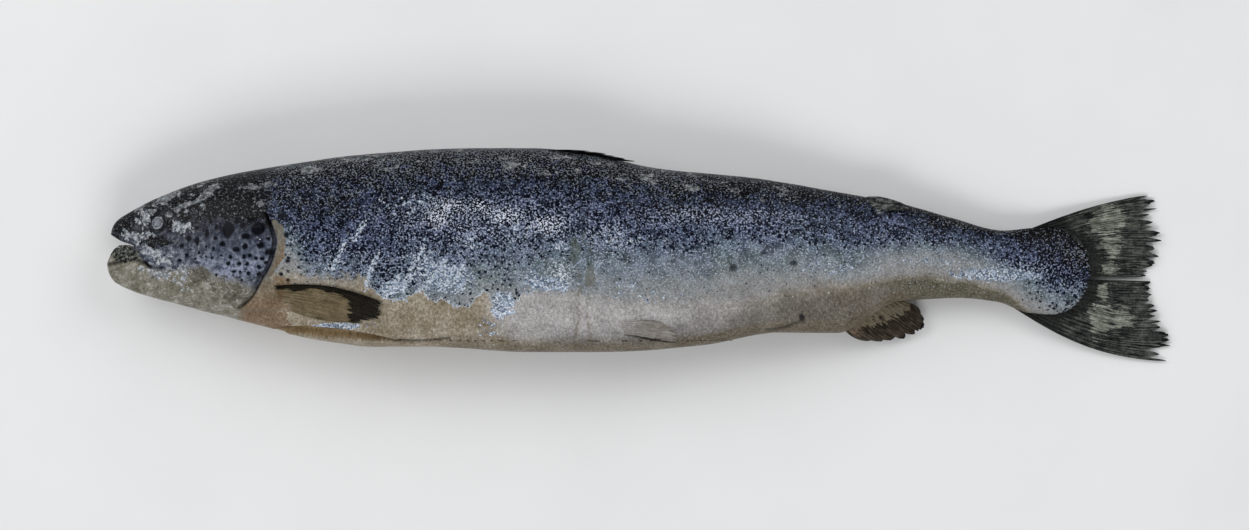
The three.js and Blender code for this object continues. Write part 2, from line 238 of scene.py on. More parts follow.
def wrapped(stations):
    """The plain skin over a list of stations along the fish: points (station, column, xyz)."""
    x = stations[:, None]
    widest, up, down, half, middle = section_at(x)
    across, out = np.cos(TURNS)[None], np.sin(TURNS)[None]
    y = widest + np.where(across > 0, up, down) * rounded(across)
    z = pressed_flat(middle + rounded(out) * half)
    return np.stack([x + jaw_setback(x, y), y, z], axis=-1)


def outward(points):
    """Unit normals of a ring grid, from each point's neighbours."""
    along = np.gradient(points, axis=0)
    around = np.roll(points, -1, axis=1) - np.roll(points, 1, axis=1)
    normal = np.cross(around, along)
    return normal / np.maximum(np.linalg.norm(normal, axis=-1, keepdims=True), 1e-9)


def around_from_top(points):
    """Distance over the skin from the middle of the left flank, with one value more than
    there are columns, because the last column closes on the first."""
    closed = np.concatenate([points, points[:, :1]], axis=1)
    steps = np.linalg.norm(np.diff(closed, axis=1), axis=-1)
    arc = np.concatenate([np.zeros((len(points), 1)), np.cumsum(steps, axis=1)], axis=1)
    return arc - arc[:, TOP_COLUMN : TOP_COLUMN + 1]


girth = np.ptp(around_from_top(wrapped(np.array([DEEPEST_X]))))
print("girth at the deepest place:", round(float(girth)), "mm")

# %% [markdown]
# ## Uneven nature
# Nothing on a fish is evenly spaced. Two helpers make that unevenness: a seeded cloud pattern
# for slow changes, and soft-edged patches and lines for the marks that sit in known places.
# They are worked out per point of the skin and handed to the materials as named masks.


# %% Clouds, patches and lines
def cloud(x, y, size, seed, octaves=3):
    """Soft noise from -1 to 1 whose largest waves are `size` millimetres long."""
    total, weight = 0.0, 0.0
    for octave in range(octaves):
        table = np.random.default_rng(seed + octave).random((64, 64))
        u, v = x / size * 2**octave + 7.3 * octave, y / size * 2**octave + 3.1 * octave
        i, j = np.floor(u).astype(int), np.floor(v).astype(int)
        fu, fv = u - i, v - j
        fu, fv = fu * fu * (3 - 2 * fu), fv * fv * (3 - 2 * fv)
        low = mix(table[i % 64, j % 64], table[(i + 1) % 64, j % 64], fu)
        high = mix(table[i % 64, (j + 1) % 64], table[(i + 1) % 64, (j + 1) % 64], fu)
        total = total + mix(low, high, fv) * 0.5**octave
        weight += 0.5**octave
    return 2.4 * (total / weight - 0.5)


def patch(x, y, middle, reach, lean=0.0, edge=0.35, torn=0.0, seed=5):
    """1 inside a leaning oval, 0 outside; torn makes its edge wander."""
    turn = math.radians(lean)
    dx, dy = x - middle[0], y - middle[1]
    u = (dx * math.cos(turn) + dy * math.sin(turn)) / reach[0]
    v = (dy * math.cos(turn) - dx * math.sin(turn)) / reach[1]
    away = np.sqrt(u * u + v * v)
    if torn:
        away = away + torn * cloud(x, y, 1.4 * min(reach), seed)
    return ease(1 + edge, 1 - edge, away)


def distance_to(x, y, line):
    """Distance of each place from a line of points."""
    nearest = np.full(np.shape(x), 1e9)
    for (x0, y0), (x1, y1) in zip(line[:-1], line[1:]):
        length = (x1 - x0) ** 2 + (y1 - y0) ** 2
        t = np.clip(((x - x0) * (x1 - x0) + (y - y0) * (y1 - y0)) / length, 0, 1)
        nearest = np.minimum(nearest, np.hypot(x - x0 - t * (x1 - x0), y - y0 - t * (y1 - y0)))
    return nearest


def stroke(x, y, line, half_width, softness=0.6):
    """1 on a line, 0 beyond its half width."""
    away = distance_to(x, y, smooth_line(line, 6 * len(line)))
    return ease(half_width * (1 + softness), half_width * (1 - softness), away)


def lower_edge(points):
    """A line given as x for each y, for edges that run up and down the fish."""
    return curve_through(sorted((y, x) for x, y in points))


print("a cloud reaches", round(float(cloud(np.arange(700.0), 0.0, 20, 1).max()), 2))

# %% [markdown]
# ## The head's forms
# The gill cover is a stiff plate that swells towards its rear edge and stands clear of the
# shoulder there, with the gill slit under it. In front of it runs the ridge of the cheek bone,
# below it the folded gill membrane. The upper jaw carries a long flat bone down to the mouth's
# corner. All of them are low, a millimetre or two, so they are pushed out of the wrapped skin.

# %% Gill cover, cheek and jaws in relief
GILL_EDGE = [
    (104.3, 31.5), (109.9, 19.6), (112.7, 9.5), (111.3, 1.5), (107.8, -7.9), (101.5, -16.1),
    (94.5, -26.8), (86.1, -35.1),
]
GILL_RISE = 2.0
SLIT_WIDTH = (1.2, 2.6)  # behind the gill cover and below it
SLIT_DEPTH = 3.2
CHEEK_RIDGE = [(75.8, 20), (77.1, 11.5), (77.1, 2.4), (75.1, -6), (71.5, -13.5)]
JAW_BONE = [(10.6, 14.9), (24.2, 4.4), (31.6, -2.0), (41, -5.4), (49.7, -7.3)]
MOUTH_LINE = [(19.2, 6.6), (24.2, 0.6), (27.0, -4.1), (31.5, -7.3), (47.5, -8)]
EYE_MIDDLE = (35.6, 21.2)
EYE_RADIUS = 5.2
NOSTRILS = [(19.4, 22.2), (21.6, 24.0)]
gill_edge_x = lower_edge(GILL_EDGE)


def behind_gill_edge(x, y):
    """Distance behind the gill cover's rear edge; negative in front of it."""
    lean = mix(0.78, 1.0, ease(-25, -5, y))
    return (x - gill_edge_x(y)) * lean


def gill_window(y):
    """1 where the gill cover stands open, fading at its upper and lower end."""
    return ease(32, 24, y) * ease(-37.5, -31, y)


def slit_width(y):
    return mix(*SLIT_WIDTH, ease(-9, -20, y))


def from_eye(x, y):
    return np.hypot(x - EYE_MIDDLE[0], y - EYE_MIDDLE[1])


def head_relief(x, y):
    behind = behind_gill_edge(x, y)
    width = slit_width(y)
    window = gill_window(y)
    swell = ease(0.075 * LENGTH, 0.135 * LENGTH, x) * ease(27, 17, y)
    swell = swell * ease(-35, -25, y)
    cover = GILL_RISE * swell * ease(0.35, -0.5, behind)
    inside = ease(-0.1, 0.5, behind) * ease(width + 0.9, width - 0.5, behind)
    relief = cover - SLIT_DEPTH * window * inside
    relief -= 0.25 * swell * ease(2.4, 0.4, np.abs(behind + 3.2))
    relief += 0.35 * stroke(x, y, CHEEK_RIDGE, 2.2, 0.9)
    relief -= 0.5 * stroke(x - 2.6, y, CHEEK_RIDGE, 0.9, 0.9)
    relief += 0.7 * stroke(x, y, JAW_BONE, 2.3, 0.5)
    relief -= 1.5 * stroke(x, y, MOUTH_LINE, 0.8, 0.8)
    orbit = from_eye(x, y)
    relief -= 0.9 * ease(EYE_RADIUS + 2.4, EYE_RADIUS + 0.2, orbit)
    relief += 0.5 * ease(2.4, 0.6, np.abs(orbit - EYE_RADIUS - 2.6))
    for nostril in NOSTRILS:
        relief -= 1.0 * patch(x, y, nostril, (0.8, 0.6), edge=0.6)
    membrane = ease(-14, -20, y + 0.25 * (x - 62)) * ease(50, 66, x)
    folds = np.sin(1.15 * (y + 0.42 * x) + 0.6 * cloud(x, y, 18, 71))
    relief += 0.22 * membrane * ease(1, -1.5, behind) * folds
    return relief


print("the gill cover stands", GILL_RISE, "mm proud over a slit", SLIT_DEPTH, "mm deep")

# %% [markdown]
# ## The body's forms
# A gutted salmon has a long cut along its belly, which gapes behind the throat. It sags into
# soft folds where it bends, has a small vent in front of the anal fin, and a fine groove,
# the lateral line, from the gill cover to the tail. Each scale overlaps the next one behind
# it like a roof tile. Their rows cross in a diamond pattern, which two slanting counts
# describe: a scale sits wherever both counts are whole numbers.

# %% Scales, belly cut, folds and vent in relief
SCALE_ALONG = 4.6
SCALE_ROUND = 4.5
SCALE_RISE = 0.12
BELLY_CUT = [(112, -48.2), (124, -48.4), (150, -50.4), (176, -53.0), (193, -55.4)]
BELLY_SEAM = [(193, -55.4), (208, -55.6), (226, -54.0)]
CREASES = [
    [(313.6, 30), (313, 3.7), (310.4, -22.2), (308.2, -58)],
    [(320.7, 14), (318.1, -9.3), (316.8, -35.2), (318.5, -58)],
]
CREASE_DEPTHS = (0.8, 0.5)
LATERAL_LINE = [
    (119, 15.4), (194, 11.4), (297, 7.6), (401, 3.7), (506, 0), (586, -2.7), (644, -4),
]
VENT = (455.8, -40.7)
VENT_FOLD = [(455.8, -42.3), (447.4, -46.2), (440.3, -48.2), (433, -48.8)]
GAPE_START = 110
GAPE_LENGTH = 84
HALF_GAPE = 3.5
CUT_DEPTH = 4.2
cut_line = curve_through(BELLY_CUT)


def scale_profile(along, around):
    """Height of the tiled scales, from 0 to 1, at a place counted in millimetres."""
    p = along / SCALE_ALONG + around / SCALE_ROUND
    q = along / SCALE_ALONG - around / SCALE_ROUND
    dp, dq = p - np.round(p), q - np.round(q)
    dome = ease(0.5, 0.2, np.maximum(np.abs(dp), np.abs(dq)))
    return dome * (0.55 + 0.45 * (dp + dq))


def cut_gape(x, y):
    """How far inside the gaping belly cut a place lies: 1 along its middle, 0 at its lips."""
    lengthwise = np.clip((x - GAPE_START) / GAPE_LENGTH, 0, 1)
    half_gape = 0.05 + HALF_GAPE * np.sin(math.pi * lengthwise**0.75) ** 0.8
    return 1 - np.abs(y - cut_line(x)) / half_gape


def fold_sway(x, y):
    return 3.5 * cloud(x, y, 20, 58)


def body_relief(x, y, upper, along, around):
    relief = 0.4 * cloud(x, y, 60, 21) + 0.16 * cloud(x, y, 17, 22)
    scaled = ease(5, 12, behind_gill_edge(x, y)) * ease(648, 640, x)
    relief += SCALE_RISE * scaled * scale_profile(along, around)
    fold_x = x + fold_sway(x, y)
    for crease, depth in zip(CREASES, CREASE_DEPTHS):
        relief -= depth * stroke(fold_x, y, crease, 1.8, 0.9)
        relief += 0.6 * depth * stroke(fold_x + 5, y, crease, 3.2, 0.9)
    gape = cut_gape(x, y)
    relief -= upper * CUT_DEPTH * ease(0.0, 0.55, gape)
    relief += upper * 0.7 * ease(-0.9, -0.1, gape) * ease(0.12, -0.02, gape)
    relief -= upper * 0.9 * stroke(x, y, BELLY_SEAM, 0.8, 0.9)
    relief -= 1.8 * patch(x, y, VENT, (1.7, 2.8), 20, edge=0.5)
    relief += 0.6 * patch(x, y, VENT, (4.6, 5.6), 20, edge=0.4)
    relief -= 0.9 * stroke(x, y, VENT_FOLD, 0.9, 0.9)
    relief -= 0.14 * stroke(x, y, LATERAL_LINE, 0.7, 0.9)
    return relief


print("scales", SCALE_ALONG, "mm apart; the belly cut gapes over", GAPE_LENGTH, "mm")

# %% [markdown]
# ## From rings to pieces
# Each length of skin becomes a mesh: the grid's points, pushed out by the relief, and quads
# between them. Both ends of the fish are closed with a fan of triangles. Two maps are laid on
# it. One fills a square, with the left flank taking most of it, so a texture painted from the
# piece is sharpest where the fish is looked at. The other counts millimetres along and around
# the skin, which is what the scales follow.


# %% A grid turned into a mesh
def mesh_at(name, points):
    """A new mesh of loose points, given in millimetres along the fish."""
    mesh = bpy.data.meshes.new(name)
    mesh.vertices.add(len(points))
    mesh.vertices.foreach_set("co", ((points + ORIGIN) * MM).astype(np.float32).ravel())
    return mesh


def places_of(items, of):
    """The points of a mesh, or the middles of its faces, in millimetres along the fish."""
    places = np.empty(len(items) * 3)
    items.foreach_get(of, places)
    return places.reshape(-1, 3) / MM - ORIGIN


def add_faces(mesh, corners, sizes, smooth=True):
    mesh.loops.add(len(corners))
    mesh.loops.foreach_set("vertex_index", corners.astype(np.int32))
    mesh.polygons.add(len(sizes))
    starts = np.concatenate([[0], np.cumsum(sizes)[:-1]])
    mesh.polygons.foreach_set("loop_start", starts.astype(np.int32))
    mesh.update(calc_edges=True)
    mesh.polygons.foreach_set("use_smooth", np.full(len(sizes), smooth))


def mesh_of(name, points, faces, smooth=True):
    mesh = mesh_at(name, points)
    corners = np.concatenate([np.asarray(face) for face in faces])
    add_faces(mesh, corners, np.array([len(face) for face in faces]), smooth)
    return mesh


def piece_from(name, mesh, materials):
    for material in materials:
        mesh.materials.append(material)
    piece = bpy.data.objects.new(name, mesh)
    bpy.context.scene.collection.objects.link(piece)
    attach(piece, "root")
    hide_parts("fish")
    print(f"{name}: {len(mesh.polygons)} faces")
    return piece


def write_mask(mesh, name, values, domain="POINT"):
    """A number at every point, or a place with three at every corner, for the materials."""
    values = np.asarray(values, np.float32)
    kind = "FLOAT_VECTOR" if values.ndim == 2 else "FLOAT"
    attribute = mesh.attributes.new(name, kind, domain)
    attribute.data.foreach_set("vector" if values.ndim == 2 else "value", values.ravel())


# %% [markdown]
# ## One length of skin
# A length of skin could end in an open edge, but the first and the last one close the fish.
# The grid is made with one ring more at each end, so that the slopes at its edges are those
# of its neighbours, and those extra rings are dropped once the slopes are known.


# %% The skin's grid, relief and all
def warped(along, around):
    """The count of millimetres that the scales follow, with nature's unevenness."""
    return (
        along + 0.9 * cloud(along, around, 26, 31, 2),
        around + 0.9 * cloud(along, around, 22, 41, 2),
    )


def skin_grid(stations):
    """Points, normals and places of the skin over these stations, relief and all."""
    margin = np.diff(stations)[[0, -1]]
    padded = np.concatenate([[stations[0] - margin[0]], stations, [stations[-1] + margin[1]]])
    padded = np.clip(padded, 0.004, FLESH_LENGTH - 0.004)
    plain = wrapped(padded)
    around = around_from_top(plain)
    along = np.broadcast_to(padded[:, None], around.shape)
    scales_along, scales_around = warped(along, around)
    x, y, z = np.moveaxis(plain, -1, 0)
    upper = ease(-3, 3, z - middle_height(padded)[:, None])
    head = ease(HEAD_END - 2, HEAD_END - 6, padded)[:, None]
    relief = head * head_relief(x, y)
    relief += ease(98, 118, padded)[:, None] * body_relief(
        x, y, upper, scales_along[:, :-1], scales_around[:, :-1]
    )
    relief = relief * ease(0.2, 6, z) * rounded_ends(padded)[:, None]
    points = plain + outward(plain) * relief[..., None]
    points[..., 2] = np.maximum(points[..., 2], 0)
    places = np.stack([scales_along, scales_around], axis=-1)
    return points[1:-1], outward(points)[1:-1], places[1:-1], plain[1:-1]


# %% The grid as a mesh with its two maps
def skin_mesh(name, stations, front_closed=False, rear_closed=False):
    points, normals, places, plain = skin_grid(stations)
    rings = len(stations)
    ring, column = np.meshgrid(np.arange(rings - 1), np.arange(COLUMNS), indexing="ij")
    corner_ring = np.stack([ring, ring, ring + 1, ring + 1], axis=-1)
    corner_column = np.stack([column, column + 1, column + 1, column], axis=-1)
    quads = corner_ring * COLUMNS + corner_column % COLUMNS
    corners, sizes = [quads.reshape(-1)], [np.full(quads.size // 4, 4)]
    spread = [corner_ring / (rings - 1), corner_column / COLUMNS]
    maps = [np.stack(spread, axis=-1).reshape(-1, 2)]
    corner_places = [places[corner_ring, corner_column].reshape(-1, 2)]
    flat_points, flat_normals = points.reshape(-1, 3), normals.reshape(-1, 3)
    flat_plain = plain.reshape(-1, 3)
    for closed, end, facing in ((front_closed, 0, -1), (rear_closed, rings - 1, 1)):
        if not closed:
            continue
        pole = len(flat_points)
        flat_points = np.vstack([flat_points, points[end].mean(axis=0)])
        flat_plain = np.vstack([flat_plain, plain[end].mean(axis=0)])
        flat_normals = np.vstack([flat_normals, [facing, 0, 0]])
        j = np.arange(COLUMNS)
        here, there = end * COLUMNS + j, end * COLUMNS + (j + 1) % COLUMNS
        pair = (here, there) if end else (there, here)
        corners.append(np.stack([np.full(COLUMNS, pole), *pair], axis=-1).reshape(-1))
        sizes.append(np.full(COLUMNS, 3))
        inner = 0.5 / (rings - 1)
        edge_u = float(end > 0)
        fan = np.zeros((COLUMNS, 3, 2))
        fan[:, 0] = np.stack([np.full(COLUMNS, abs(edge_u - inner)), (j + 0.5) / COLUMNS], -1)
        fan[:, 1] = np.stack([np.full(COLUMNS, edge_u), (j + float(end == 0)) / COLUMNS], -1)
        fan[:, 2] = np.stack([np.full(COLUMNS, edge_u), (j + float(end > 0)) / COLUMNS], -1)
        maps.append(fan.reshape(-1, 2))
        corner_places.append(np.repeat(places[end, :-1], 3, axis=0))
    mesh = mesh_at(name, flat_points)
    add_faces(mesh, np.concatenate(corners), np.concatenate(sizes))
    layer = mesh.uv_layers.new(name="OFBake")
    layer.data.foreach_set("uv", np.concatenate(maps).astype(np.float32).ravel())
    places = np.concatenate(corner_places)
    write_mask(mesh, "scale_place", np.column_stack([places, np.zeros(len(places))]), "CORNER")
    return mesh, flat_plain, flat_normals


print("columns round the fish:", COLUMNS)

# %% [markdown]
# ## Marks on the skin
# The round black spots on the cheek and the gill cover, and the larger ones on the shoulder,
# are places where pigment sits thick. They are listed one by one, because their pattern is
# what tells one fish from another. A texture could be painted instead, but lists of ovals
# and lines can be moved and changed one at a time, and they stay sharp at any distance.

# %% Spots and bruises: middle and half sizes
GILL_SPOTS = [
    (82.8, 17, 3.7, 4.6), (102.4, 17.6, 3.7, 3.7), (92.2, 19.6, 1.8, 1.5), (94, 12.6, 2.4, 2),
    (94, 6, 1.9, 1.9), (87.9, 4, 2.4, 1.8), (103.9, 6.5, 2.5, 1.9), (109.2, 11, 1.7, 1),
    (109.6, 2.4, 2.8, 2.2), (79.2, 7.7, 2.1, 1.7), (82.5, -5.1, 1.4, 1.3),
    (84.2, -0.9, 1.3, 1.3), (89.9, -5.3, 1.3, 1.3), (93.3, -0.7, 1.4, 1.4), (97, 0.3, 1.2, 1.1),
    (100.9, -1.5, 1.2, 1.2), (105.1, -2, 1.4, 1.2), (95.1, -5.3, 1.2, 1.2),
    (107.2, -4.6, 1.3, 1.4), (102.8, -7.5, 1.3, 1.4), (86.2, -10.4, 1, 1), (90.3, -10.4, 1, 1),
    (95.9, -11.6, 1.2, 1.6), (102.6, -11.8, 1.5, 1.2), (91.5, -15.8, 0.8, 0.7),
    (74.4, -12.5, 0.9, 0.8), (108.5, 21.5, 1.6, 1.2), (98, 23.5, 1.5, 1.1),
]
CHEEK_SPOTS = [
    (56.3, 11, 1.8, 1.8), (62, 9.8, 1.4, 2.6), (51.8, 6.5, 1.3, 1.4), (68.5, 14.8, 1.4, 2.5),
    (75, 18.8, 1.1, 1.9), (74.2, 11.2, 1.2, 1.4), (55, 0.3, 1.3, 1.2), (63.2, 2, 1, 1.3),
    (50, -3, 1.1, 1), (67.9, 5.9, 0.8, 0.9), (60.4, -2, 0.9, 0.8), (67.8, -0.5, 0.7, 0.7),
    (72.9, 4.8, 1, 1.2), (71.8, -1.4, 0.9, 0.9), (77.9, 0.3, 0.9, 1), (62, 18, 1.2, 1.2),
    (70.8, 22.1, 1, 1.1), (39.9, 0.4, 0.7, 0.7),
]
SHOULDER_SPOTS = [
    (120.8, 13.7, 1.7, 1.8), (117.4, -11.9, 1.5, 1.4), (118, 25.3, 2.6, 2.6),
    (121.6, -3.4, 1.6, 1.4), (123.5, 6.7, 1.3, 1.3), (129, 1.1, 1.4, 1.2),
    (121.7, -15.8, 1.3, 1.3),
]
BRUISES = [(410.9, -8, 3.3, 2.6), (430.5, 1.8, 2, 2), (450.2, -4.7, 2.6, 1.6)]
print("spots:", len(GILL_SPOTS) + len(CHEEK_SPOTS) + len(SHOULDER_SPOTS) + len(BRUISES))

# %% [markdown]
# ## Slime, silver and rubbed skin
# The slime that a fresh fish gives off dries into grey films along the back. Along the middle
# of the flank lie bright silver patches, and behind the gill cover rows of slanting streaks.
# Where the fish was handled, the scales are rubbed off the belly, and the bare skin shows pale
# or tan. All of these have torn edges, so only their rough places are given here.

# %% Patches, streaks and stains
SLIME_PATCHES = [
    (292, 54, 6, 4), (188, 59, 9, 4.6), (137.6, 56, 10.5, 3.3), (356, 50.5, 6.6, 3.9),
    (385, 46, 4.6, 2.6), (343, 50, 6.6, 2), (160, 62, 5.2, 2.6), (239, 62, 8, 2),
    (265, 59, 4.6, 3.3), (313, 61.5, 9.2, 2.6), (411, 42, 5.2, 2), (434, 38.5, 3.9, 2),
    (467, 34, 5.2, 2), (500, 31, 12, 5), (506, 13.6, 5.2, 3.0), (73, 44, 14, 2.4),
    (47, 34.5, 10, 2.6), (95, 49, 7, 2.2), (60, 38, 6, 3), (33, 31.5, 7, 2.2),
]
# the scales are rubbed off below this line, from the shoulder to the anal fin
BARE_EDGE = [
    (116, -10), (130, -13), (150, -15), (168, -15), (176, -21), (184, -28.7), (197, -28.7),
    (206.8, -22.9), (214.5, -28.7), (222.9, -30), (233.9, -33.9), (239.1, -31.9),
    (246.9, -24.2), (252.1, -26.1), (255.2, -36.5), (259.7, -39.1), (268.2, -31.9),
    (278, -23.5), (297.4, -24.2), (305.8, -22.5), (316, -26), (345, -29), (380, -30), (410, -31),
    (440, -27), (470, -20), (500, -18), (530, -20),
]
# the last number is how far the shading is moved down there, as a share of the depth
FADED = [
    (142, -10, 26, 10, 0.12), (122, 1, 9, 20, 0.33), (176, 6, 34, 15, 0.08),
    (487, -34, 44, 12, 0.1), (478, 25, 55, 10, 0.12), (572, 6, 32, 9, 0.14),
    (480, -9, 45, 7, -0.05),
]
TAN_PATCH = (237.6, -45, 6.6, 13.1)
SILVER_PATCHES = [
    (226, -15, 17, 11), (261.8, -31.3, 8.5, 9.2), (292.2, -18.3, 16.4, 5.2),
    (190, -20.9, 11, 5.9), (298.7, 6.3, 6, 3.6), (152, -46, 20, 2.6), (585.8, -12.6, 33, 4.6),
]
FAINT_SILVER = [
    (336.3, 10.2, 16.4, 11.8), (239.3, 10.1, 13.1, 10.5), (271.6, 15.3, 11.8, 9.2),
    (251.8, -46.9, 9.2, 10.5), (205, 33, 30, 10), (540, -4, 30, 6), (208, 0, 16, 12),
    (340, -20.9, 14, 8), (366, -27, 24, 5), (479.8, -8, 34.1, 7.2), (323.3, -4.1, 7.9, 5.2),
    (150, -5, 11, 8), (277, -11, 12, 7),
]
SILVER_STREAKS = [
    [(196.4, -20.9), (201, -10.6), (210.1, 5.6)], [(200.3, -16.4), (209.5, -4.1)],
    [(171.7, -22.9), (175.1, -9.3), (180.3, 1.1)], [(184, -27.4), (188, -22.2), (193.9, -13.1)],
    [(206.8, -22.9), (214.6, -15.7), (223.7, -3.4)], [(224.9, -19), (229.5, -8)],
    [(230.8, -16.4), (235.4, -6.7)], [(150.4, -8), (158.3, 6.9)], [(164.8, 10.1), (171.9, 21.8)],
]
FOLD_STAINS = [(307.8, 3, 4.2, 13), (317.5, -13, 4.8, 11)]
# how far the shading from back to belly is moved down, for each place along the fish
SHADE_SHIFT = [
    (0, -0.08), (180, -0.15), (240, 0.0), (330, 0.08), (415, 0.15), (470, 0.21), (500, 0.21),
    (560, 0.19), (590, 0.1), (612, -0.1), (648, -0.34),
]
# the scaled flesh ends in an arc inside the tail fin
FLESH_END = [
    (620, 22), (631, 15), (643, 5), (650, -6), (649, -17), (641, -30), (629, -38), (618, -43),
]
GLARE = [
    (219, 25, 9, 7), (226, 31, 12, 5), (262, 26, 14, 6), (290, 20, 12, 6), (246, 32, 8, 4),
    (299, -13, 7, 8),
]
FAINT_GLARE = [(400, 26, 50, 6), (330, 12, 14, 10), (250, 24, 60, 12), (560, -9, 50, 5)]
bare_edge = curve_through(BARE_EDGE)
flesh_end = lower_edge(FLESH_END)
shade_shift = curve_through(SHADE_SHIFT)
print("silver patches:", len(SILVER_PATCHES) + len(FAINT_SILVER), "streaks:", len(SILVER_STREAKS))

# %% [markdown]
# ## Marks as masks
# A mask is a number from 0 to 1 at every point of a mesh. Each kind of mark gets one, made by
# the same few helpers, and the materials mix their colours by them. Written once per point,
# they cost nothing when the fish is drawn, and neighbouring pieces agree along their joins.


# %% Helpers for the masks
def spots_at(x, y, spots, edge=0.3, torn=0.16):
    mask = np.zeros(np.shape(x))
    for number, (cx, cy, rx, ry) in enumerate(spots):
        near = (np.abs(x - cx) < 2 * rx + 1) & (np.abs(y - cy) < 2 * ry + 1)
        if near.any():
            one = patch(x[near], y[near], (cx, cy), (rx, ry), 0, edge, torn, 91 + number)
            mask[near] = np.maximum(mask[near], one)
    return mask


def down_share(x, y):
    """0 along the back, 1 along the belly."""
    widest, up, down, _, _ = section_at(np.clip(x, 0.5, FLESH_LENGTH - 6))
    return np.clip((widest + up - y) / (up + down), 0, 1)


def most_of(x, y, patches, edge):
    """The strongest of several soft patches."""
    mask = np.zeros(np.shape(x))
    for cx, cy, rx, ry in patches:
        mask = np.maximum(mask, patch(x, y, (cx, cy), (rx, ry), 0, edge))
    return mask


def slime_mask(x, y, down):
    """Where slime has dried: here and there along the back, and in a few known patches."""
    band = ease(0.19, 0.08, down) * ease(545, 430, x)
    return 0.22 * band + 0.26 * most_of(x, y, SLIME_PATCHES, 0.8)


# %% Masks of the shading, the pigment and the light
def shading_masks(mesh, x, y, down):
    lighter = sum(by * patch(x, y, (cx, cy), (rx, ry), 0, 0.8) for cx, cy, rx, ry, by in FADED)
    shift = shade_shift(x)
    upper_end = np.where(shift > 0, 0.54, 0.36)
    shift = shift * ease(np.where(shift > 0, 0.18, 0.1), upper_end, down)
    write_mask(mesh, "down", down + lighter + shift)
    low_dots = 0.6 * ease(292, 262, x) * ease(0.36, 0.56, down)
    write_mask(mesh, "pigment", np.maximum(ease(588, 618, x + 0.5 * (y + 5)), low_dots))
    write_mask(mesh, "slime", slime_mask(x, y, down))
    write_mask(mesh, "web", np.clip(0.5 + (x - flesh_end(y)) / 12, 0, 1))
    rearward = 0.55 * ease(370, 400, x) + 0.6 * ease(585, 612, x)
    glare = np.maximum(0.85 * most_of(x, y, GLARE, 0.9), 0.32 * most_of(x, y, FAINT_GLARE, 0.8))
    write_mask(mesh, "glare", glare - ease(0.22, 0.1, down) * rearward)


# %% Masks of the silver and the bare skin
def silver_masks(mesh, x, y, down, behind):
    silver = 0.72 * most_of(x, y, SILVER_PATCHES, 0.6) + 0.42 * most_of(x, y, FAINT_SILVER, 0.7)
    write_mask(mesh, "silver", np.clip(silver, 0, 0.8))
    streak = np.zeros(len(x))
    for line in SILVER_STREAKS:
        streak = np.maximum(streak, stroke(x, y, line, 1.7, 0.9))
    write_mask(mesh, "streak", 0.58 * streak)
    soft = np.maximum(ease(184, 168, x), ease(298, 312, x))
    bare = np.clip(0.5 + (bare_edge(x) - y) / mix(10, 24, soft), 0, 1)
    write_mask(mesh, "bare", ease(2, 6, behind) * bare * ease(550, 515, x))
    cx, cy, rx, ry = TAN_PATCH
    tan = ease(262, 236, x + 0.2 * y) + patch(x, y, (cx, cy), (rx, ry), -8, 0.2, 0.3, 68)
    tan = tan + ease(0.9, 0.98, down) + 0.8 * ease(400, 520, x - y)
    write_mask(mesh, "tan", np.clip(tan, 0, 1))
    write_mask(mesh, "silver rim", ease(160, 185, x) * ease(300, 270, x))


# %% Masks of the stains, the painted shade and shadow, and the openings
def stain_masks(mesh, x, y, upper, behind):
    crease = 0.68 * most_of(x, y, FOLD_STAINS, 0.9)
    for line in CREASES:
        crease = np.maximum(crease, 0.5 * stroke(x + fold_sway(x, y), y, line, 2.4, 0.9))
    write_mask(mesh, "crease", crease)
    stain = spots_at(x, y, SHOULDER_SPOTS, 0.35, 0.25) + 0.8 * spots_at(x, y, BRUISES, 0.5, 0.5)
    # painted shade: the seam behind the belly cut, the vent and the vent's fold are darkened along
    # their grooves, in the spots' dark colour
    stain = np.maximum(stain, upper * 0.6 * stroke(x, y, BELLY_SEAM, 0.9, 0.9))
    stain = np.maximum(stain, 0.8 * patch(x, y, VENT, (1.7, 3.0), 20, 0.5, 0.2))
    stain = np.maximum(stain, 0.55 * stroke(x, y, VENT_FOLD, 0.9, 0.9))
    write_mask(mesh, "stain", np.clip(stain, 0, 1))
    wander = 3 * cloud(x, y, 12, 75)
    girdle = 0.9 * ease(132, 116, x + wander) * ease(-8, -16, y + wander)
    tan_strip = 0.85 * ease(11, 4, behind + 0.5 * wander) * ease(28, 18, y)
    girdle = ease(0, 1, behind) * np.maximum(girdle, tan_strip)
    write_mask(mesh, "girdle", girdle * ease(-54, -44, y))
    gape = cut_gape(x, y)
    write_mask(mesh, "flesh", upper * ease(0.0, 0.2, gape))
    # the lip is a painted shadow: a dark band just inside the belly cut's upper edge, under its
    # flap, which goes into the slit mask
    lip = 0.8 * upper * ease(0.2, 0.06, np.abs(gape - 0.06)) * (y > cut_line(x))
    slit = gill_window(y) * ease(0.7, -0.5, behind - slit_width(y))
    write_mask(mesh, "slit", np.maximum(slit * ease(-0.4, 0.2, behind), lip))


def skin_masks(mesh, plain):
    """Everything that the scaled skin's colours ask for, written on the mesh."""
    x, y, z = plain.T
    upper = ease(-3, 3, z - middle_height(x))
    down, behind = down_share(x, y), behind_gill_edge(x, y)
    shading_masks(mesh, x, y, down)
    silver_masks(mesh, x, y, down, behind)
    stain_masks(mesh, x, y, upper, behind)


# %% [markdown]
# ## Node helpers
# Materials are networks of small steps. They could be wired by hand in the shader editor, but
# a fish needs some hundreds of nodes. A small helper adds a node, joins or sets its inputs and
# hands back its result, which keeps a network readable as a few lines of code.


# %% A short hand for nodes
def linear(red, green, blue):
    """A colour as the eye reads it, 0 to 255, turned into the light that it reflects."""
    shares = [value / 255 for value in (red, green, blue)]
    return (*[s / 12.92 if s <= 0.04045 else ((s + 0.055) / 1.055) ** 2.4 for s in shares], 1)


